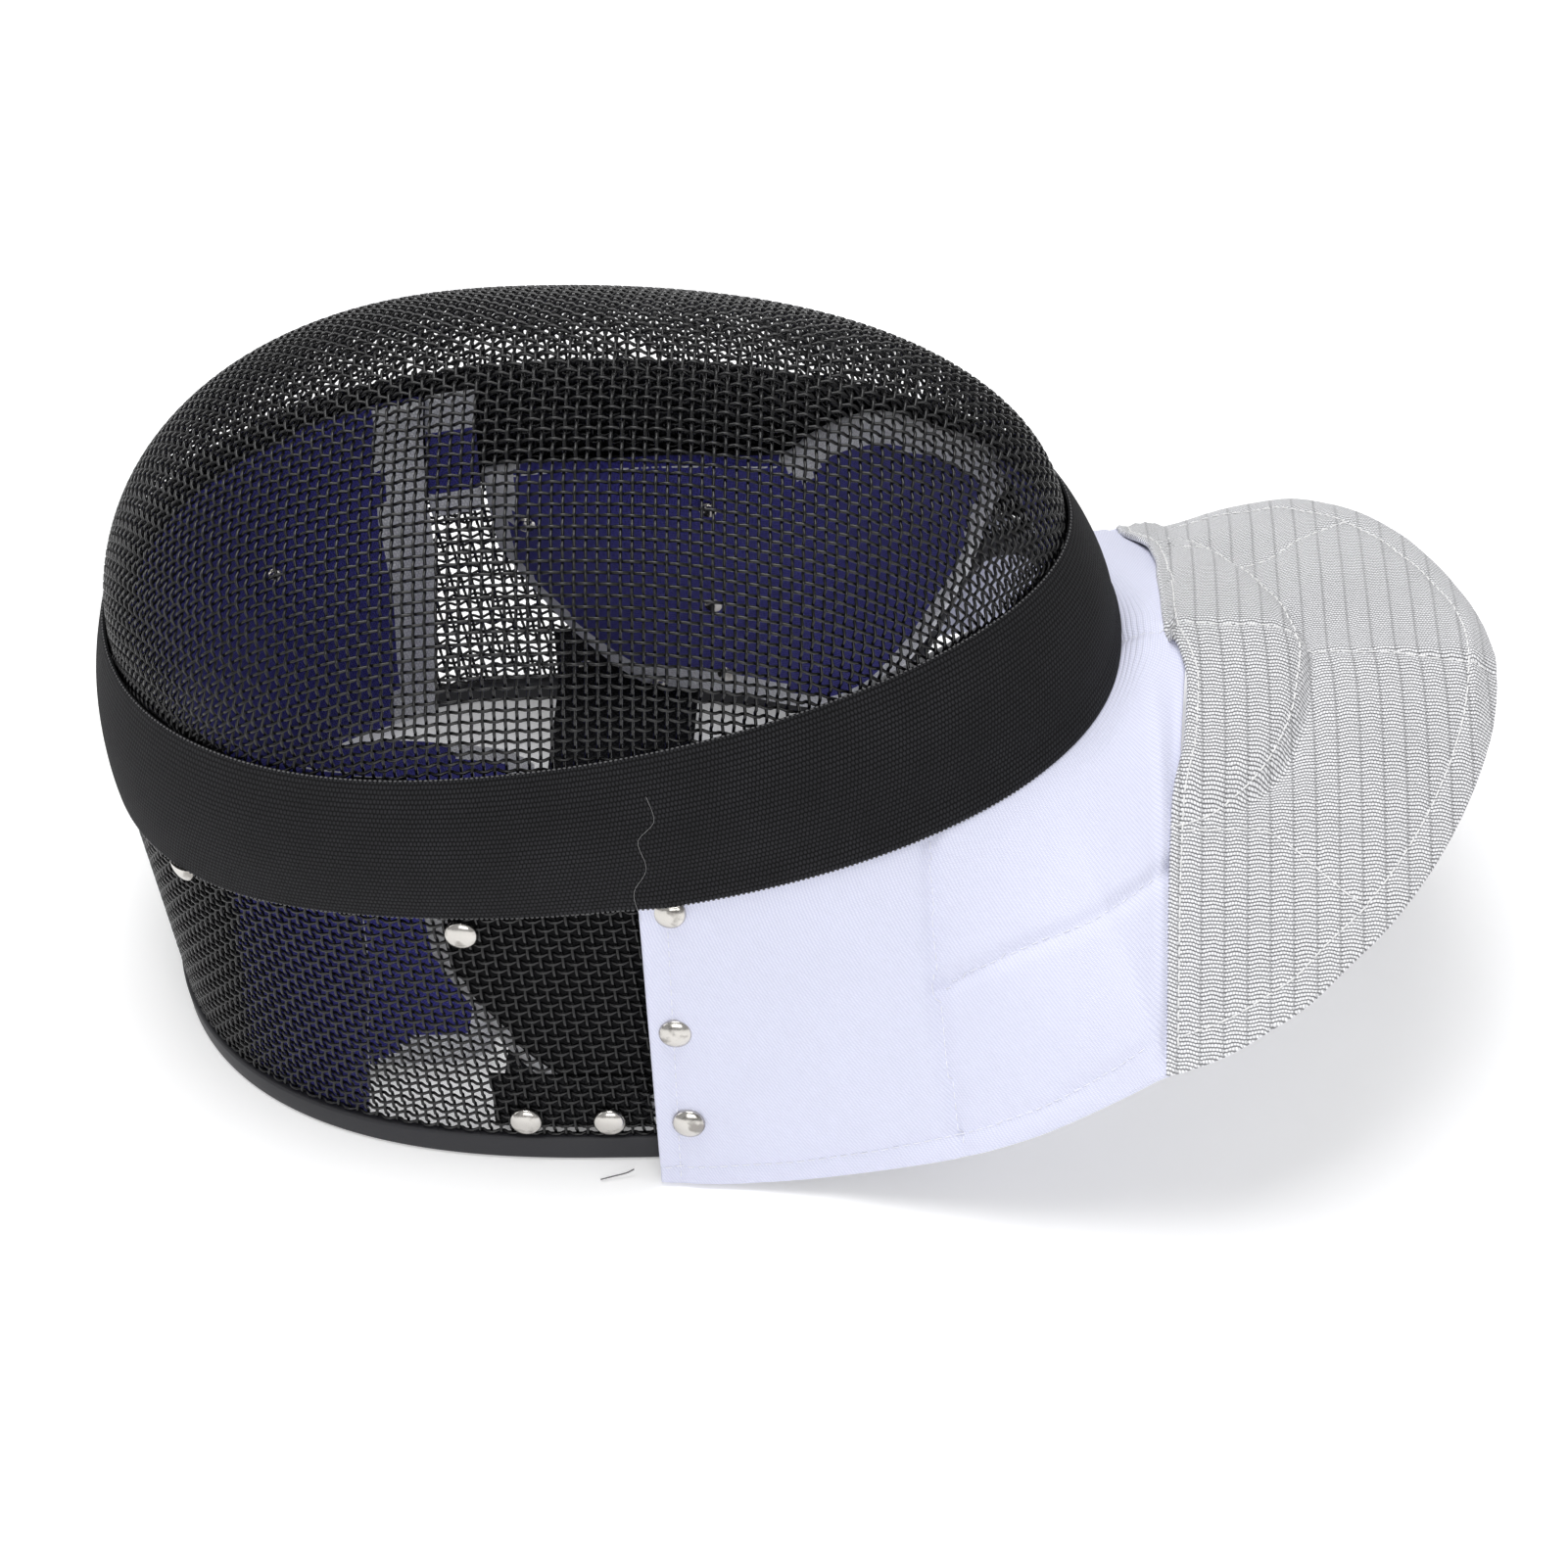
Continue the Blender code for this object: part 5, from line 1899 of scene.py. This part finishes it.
@dataclass
class BackTongue:
    """Padded tongue in the rear opening."""

    wardrobe: Wardrobe
    rows: tuple[tuple[float, float, float], ...] = (
        (-120.8, 22.0, 12.5), (-114.0, 41.0, 12.5), (-102.0, 58.5, 12.0), (-86.0, 68.0, 11.0),
        (-70.0, 69.5, 10.4), (-60.0, 69.0, 10.0), (-42.0, 67.5, 9.5), (-31.5, 61.5, 9.0))
    thick: float = 8.0
    edge_thick: float = 4.0
    side: float = -1.5
    drop: float = 2.5
    binding: float = 8.0
    bound_from: float = -64.0

    def build(self) -> None:
        """Make the tongue."""
        table = Curve([row[0] for row in self.rows], [row[1:] for row in self.rows])
        x = self.rows[0][0] + stops(self.rows[-1][0] - self.rows[0][0], 2.8, 2.0)
        half, top = np.moveaxis(table(x), -1, 0)
        across = stops(2.0, 0.048, 0.033) - 1.0
        y = self.side + half[:, None] * across[None, :]
        z = top[:, None] - self.drop * across[None, :] ** 4
        outer = np.stack(np.broadcast_arrays(x[:, None], y, z), -1)
        spread = Spread.of(outer)
        inner = smooth(spread.edge, self.binding, 22.0)
        whole = self.edge_thick + (self.thick - self.edge_thick) * inner
        binding = self.binding * smooth(x[:-1], self.bound_from - 4.0, self.bound_from + 10.0)
        bound = of_cells(spread.edge) < binding[:, None]
        body = Body()
        body.rounded_shell(outer, sheet_normals(outer, UP), whole, spread.edge, spread.flat,
                           looks=(np.where(bound, GREY, BLUE), np.where(bound, GREY, BLACK)))
        made = body.place("cloth_back_tongue", Slot.LINING, self.wardrobe.lining,
                          stands_for=["back_tongue"])


@dataclass
class RearStrap:
    """Elastic strap across the rear opening, riveted to the wall at both ends."""

    cage: Cage
    wardrobe: Wardrobe
    middle_x: float = -5.0
    wide: float = 45.0
    thick: float = 1.5
    end_thick: float = 0.8
    low: float = 2.0
    rise: float = 4.0
    top: float = 30.0

    def line(self, x: float) -> Array:
        """Middle line of the strap at one place across its width, from right to left."""
        side = []
        for z, out in ((self.top, -2.5), (22.0, -2.5), (14.0, -2.5), (10.5, -3.2), (8.4, -4.4)):
            angle, level = self.cage.seat(x, z, Side.RIGHT)
            side.append(self.cage.point(angle, level, out))
        reach = -side[-1][1] - 1.5
        y = np.linspace(-reach + 5.0, 0.0, 12)
        z = self.low + 0.5 * self.thick + self.rise * (y / reach) ** 2
        half = np.concatenate([np.array(side), np.stack([np.full(12, x), y, z], -1)])
        half[:, 0] = x
        half = smoothed(half, 70)
        return np.concatenate([half, half[-2::-1] * MIRROR])

    def build(self) -> None:
        """Make the strap."""
        x = self.middle_x - 0.5 * self.wide + stops(self.wide, 3.0, 0.8)
        middle = np.stack([self.line(float(at)) for at in x])
        out = sheet_normals(middle, UP)
        spread = Spread.of(middle)
        whole = self.thick + (self.end_thick - self.thick) * smooth(middle[..., 2], 6.0, 11.0)
        thick = rolled(spread.edge, whole)
        body = Body()
        body.shell(middle + out * (0.5 * thick)[..., None], out, thick, spread.flat[..., ::-1])
        made = body.place("elastic_rear_strap", Slot.ELASTIC, [self.wardrobe.strap],
                          stands_for=["rear_strap"])


# ------------------------------------------------------------------ rivets
@dataclass(frozen=True)
class Rivet:
    """Where a pair of rivets sits."""

    name: str
    x: float
    z: float
    on_bib: bool


@dataclass
class Rivets:
    """Pressed nickel rivet heads outside, and their closed ends inside."""

    shape: BibShape
    white: WhiteBib
    wardrobe: Wardrobe
    radius: float = 4.75
    dome: float = 2.2
    band_low: float = 0.985
    sides: int = 32
    inner_scale: float = 0.62
    above_cloth: float = 0.15
    above_wires: float = 0.35
    places: tuple[Rivet, ...] = (
        Rivet("crown", -114.0, 82.0, False), Rivet("temple", -32.0, 84.5, False),
        Rivet("strap_rear", -18.0, 14.2, False), Rivet("strap_front", 6.0, 14.2, False),
        Rivet("bib_top", 26.0, 93.5, True), Rivet("bib_middle", 26.0, 53.5, True),
        Rivet("bib_bottom", 28.5, 22.0, True))

    def profile(self) -> Array:
        """Section of a head: radius and height, from the skirt to the middle."""
        lift = np.radians(np.linspace(8.0, 90.0, 9))
        head = np.stack([self.radius * np.cos(lift) ** 0.9,
                         0.35 + (self.dome - 0.35) * np.sin(lift) ** 1.15], -1)
        skirt = np.array([(-0.5, -0.5), (-0.05, -0.25), (0.0, 0.1), (-0.06, 0.4)])
        skirt[:, 0] += self.radius
        return np.concatenate([skirt, head[1:-1]])

    def head(self, body: Body, seat_at: Array, normal: Array, scale: float,
             cut: tuple[Array, Array] | None = None) -> None:
        """Add one head.

        Args:
            body: where the heads are gathered.
            seat_at: middle of its foot.
            normal: the way it faces.
            scale: its size against an outer head.
            cut: point and upward direction of the band's edge, over which nothing stands proud.
        """
        profile = self.profile() * scale
        number = np.arange(self.sides)
        turns = 2.0 * np.pi * number / self.sides
        side = unit(np.cross(normal, UP))
        up = np.cross(side, normal)
        round_it = np.cos(turns)[:, None] * side + np.sin(turns)[:, None] * up
        wide, tall = profile.T[..., None, None]
        points = seat_at + wide * round_it + tall * normal
        tip = seat_at + normal * self.dome * scale
        points = np.concatenate([points.reshape(-1, 3), tip[None]])
        if cut is not None:
            over = (points - cut[0]) @ cut[1]
            points = points - np.maximum(over, 0.0)[:, None] * cut[1] * 0.98
        last = (len(profile) - 1) * self.sides + number
        cap = np.stack([last, np.roll(last, -1), np.full(self.sides, len(points) - 1)], -1)
        body.add(points, [quads(len(profile), self.sides, True), cap, number[None, ::-1]])

    def build(self) -> None:
        """Make all heads and inner ends."""
        cage = self.shape.cage
        heads, ends = Body(), Body()
        nodes = []
        for rivet in self.places:
            angle, level = cage.seat(rivet.x, rivet.z, Side.RIGHT)
            if rivet.on_bib:
                start, aim = cage.point(angle, level, 30.0), -cage.normal(angle, level)
                hit = self.white.tree.ray_cast(Vector(start), Vector(aim))
                place, normal, lift = np.array(hit[0]), np.array(hit[1]), self.above_cloth
            else:
                place, normal = cage.skin(angle, level), cage.normal(angle, level)
                lift = self.above_wires
            edge_at = cage.point(angle, self.band_low, 0.0)
            up = unit(edge_at - cage.point(angle, self.band_low - 0.05, 0.0))
            behind = self.inner_place(angle, level)
            for side, word in ((Side.RIGHT, "right"), (Side.LEFT, "left")):
                mirror = MIRROR if side is Side.LEFT else np.ones(3)
                seat_at = (place + normal * lift) * mirror
                if rivet.on_bib and side is Side.LEFT:
                    seat_at = self.shape.pulled(seat_at)
                self.head(heads, seat_at, normal * mirror, 1.0, (edge_at * mirror, up * mirror))
                inward = -cage.normal(angle, level) * mirror
                self.head(ends, behind * mirror, inward, self.inner_scale)
                nodes.append("rivet_" + rivet.name + "_" + word)
        heads.place("rivet_heads", Slot.NICKEL, [self.wardrobe.nickel], sharp=50.0,
                    stands_for=nodes)
        ends.place("rivet_inner_ends", Slot.NICKEL, [self.wardrobe.nickel], sharp=50.0)

    def inner_place(self, angle: float, level: float) -> Array:
        """Where a rivet's inner end shows: on the pad that covers it, else on the wires."""
        angle_in, out = abs(angle), -2.4
        for plan in (CROWN, TEMPLE, CHEEK, CHIN):
            if not plan.edges[0].angle <= angle_in <= plan.edges[-1].angle:
                continue
            low, high = plan.levels(angle_in)
            if low <= level <= high:
                near = min(level - low, high - level) * self.shape.cage.rise
                out = -2.95 - float(plan.whole(near)) - 0.2
        return self.shape.cage.point(angle, level, out)


# ------------------------------------------------------------------ loose threads
@dataclass
class ThreadEnds:
    """The few loose ends of thread that hand sewing leaves."""

    cage: Cage
    wardrobe: Wardrobe

    def strand(self, name: str, points: Sequence[Place], radius: float, material: Material,
               slot: Slot) -> None:
        """Make one strand along a few points.

        Args:
            name: name of the piece.
            points: places that it passes.
            radius: its radius.
            material: its finish.
            slot: the record's slot of that finish.
        """
        line = smoothed(np.array(points, float), 28)
        ups = np.broadcast_to(np.array([0.13, -0.6, 0.79]), line.shape)
        body = Body()
        body.tubes(line[None], ups[None], radius, 5)
        body.place(name, slot, [material])

    def build(self) -> None:
        """Make the strands."""
        band = []
        for x, z in ((21.0, 133.0), (23.0, 126.0), (18.4, 119.5), (20.4, 111.0), (16.6, 101.5),
                     (18.4, 91.0)):
            angle, level = self.cage.seat(x, z, Side.RIGHT)
            band.append(tuple(self.cage.point(angle, level, 2.1)))
        self.strand("thread_on_band", band, 0.04, self.wardrobe.grey_thread, Slot.ELASTIC)
        self.strand("thread_at_rim", ((13.0, -106.6, 2.4), (11.0, -107.2, 1.5), (7.0, -108.2, 0.9),
                                      (3.5, -109.2, 0.5)), 0.22,
                    self.wardrobe.dark_thread, Slot.TRIM)


# ------------------------------------------------------------------ studio
@dataclass
class Studio:
    """Pale floor, soft lights and the camera."""

    turn: float = 4.651
    lift: float = 42.924
    roll: float = -2.033
    right: float = 52.366
    above: float = -34.003
    away: float = 1315.455
    focal: float = 4646.994
    frame_wide: int = 1601
    floor_glow: float = 0.22
    floor_half: float = 6.0
    aim: Place = (0.0, 0.0, 0.1)
    air: float = 0.46

    def camera(self) -> None:
        """Camera at the view that the mask is seen from."""
        az, el, roll = (math.radians(value) for value in (self.turn, self.lift, self.roll))
        back = Vector((math.sin(az) * math.cos(el), -math.cos(az) * math.cos(el), math.sin(el)))
        level = Vector((math.cos(az), math.sin(az), 0.0))
        up = back.cross(level)
        right = level * math.cos(roll) + up * math.sin(roll)
        upward = up * math.cos(roll) - level * math.sin(roll)
        place = Vector((-ORIGIN_X, 0.0, 100.0)) + right * self.right
        place += upward * self.above + back * self.away
        data = bpy.data.cameras.new("studio_camera")
        data.sensor_width = 36.0
        data.lens = self.focal * 36.0 / self.frame_wide
        data.clip_end = 50.0
        camera = linked("studio_camera", data)
        turned = Matrix((right, upward, back)).transposed().to_4x4()
        turned.translation = place * MM
        camera.matrix_world = turned
        bpy.context.scene.camera = camera

    def floor(self) -> None:
        """Pale floor under the mask."""
        mesh = bpy.data.meshes.new("floor")
        corners = [(x * self.floor_half, y * self.floor_half, -0.0004)
                   for x, y in ((-1, -1), (1, -1), (1, 1), (-1, 1))]
        mesh.from_pydata(corners, [], [(0, 1, 2, 3)])
        paint = Paint("pale_floor", emission_color=(1.0, 1.0, 1.0, 1.0),
                      emission_strength=self.floor_glow)
        tint = paint.tone((0.93, 0.93, 0.935), 0.01, 3.0, 0.7, 0.03)
        mesh.materials.append(paint.finish(tint, paint.tree.noise(paint.at, 60.0, 2.0), 0.00001))
        linked("floor", mesh)

    def lamp(self, name: str, place: Place, size: tuple[float, float], power: float) -> None:
        """Add a soft box.

        Args:
            name: name of the light.
            place: where it stands, in metres.
            size: its width and height.
            power: its power in watts.
        """
        data = bpy.data.lights.new(name, "AREA")
        data.shape = "RECTANGLE"
        data.size, data.size_y = size
        data.energy = power
        made = linked(name, data)
        made.location = place
        aim = Vector(self.aim) - Vector(place)
        made.rotation_euler = aim.to_track_quat("-Z", "Y").to_euler()

    def build(self) -> None:
        """Set up camera, floor and lights."""
        self.camera()
        self.floor()
        self.lamp("overhead_box", (-0.1, 0.15, 1.5), (1.0, 1.0), 16.5)
        self.lamp("front_box", (0.15, -1.5, 0.9), (1.3, 0.8), 9.0)
        self.lamp("crown_box", (-1.5, 0.1, 0.9), (0.8, 0.8), 3.5)
        world = bpy.data.worlds.new("studio_air")
        world.use_nodes = True
        air = world.node_tree.nodes["Background"].inputs
        air["Color"].default_value, air["Strength"].default_value = (1.0, 1.0, 1.0, 1.0), self.air
        scene = bpy.context.scene
        scene.world = world
        scene.view_settings.view_transform = "Standard"
        scene.view_settings.look = "None"


def main() -> None:
    """Build the mask piece by piece and report each one."""
    logging.basicConfig(level=logging.INFO, format="%(name)s: %(message)s")
    Studio().build()
    wardrobe = Wardrobe()
    cage = Cage()
    WireCage(cage, wardrobe).build()
    ElasticBand(cage, wardrobe).build()
    RimTrim(cage, wardrobe).build()
    shape = BibShape(cage)
    white = WhiteBib(shape, wardrobe)
    white.build()
    SilverBib(shape, wardrobe, white).build()
    Lining(cage, wardrobe).build()
    BackTongue(wardrobe).build()
    RearStrap(cage, wardrobe).build()
    Rivets(shape, white, wardrobe).build()
    ThreadEnds(cage, wardrobe).build()
    log.info("the mask is dressed")


if __name__ == "__main__":
    main()
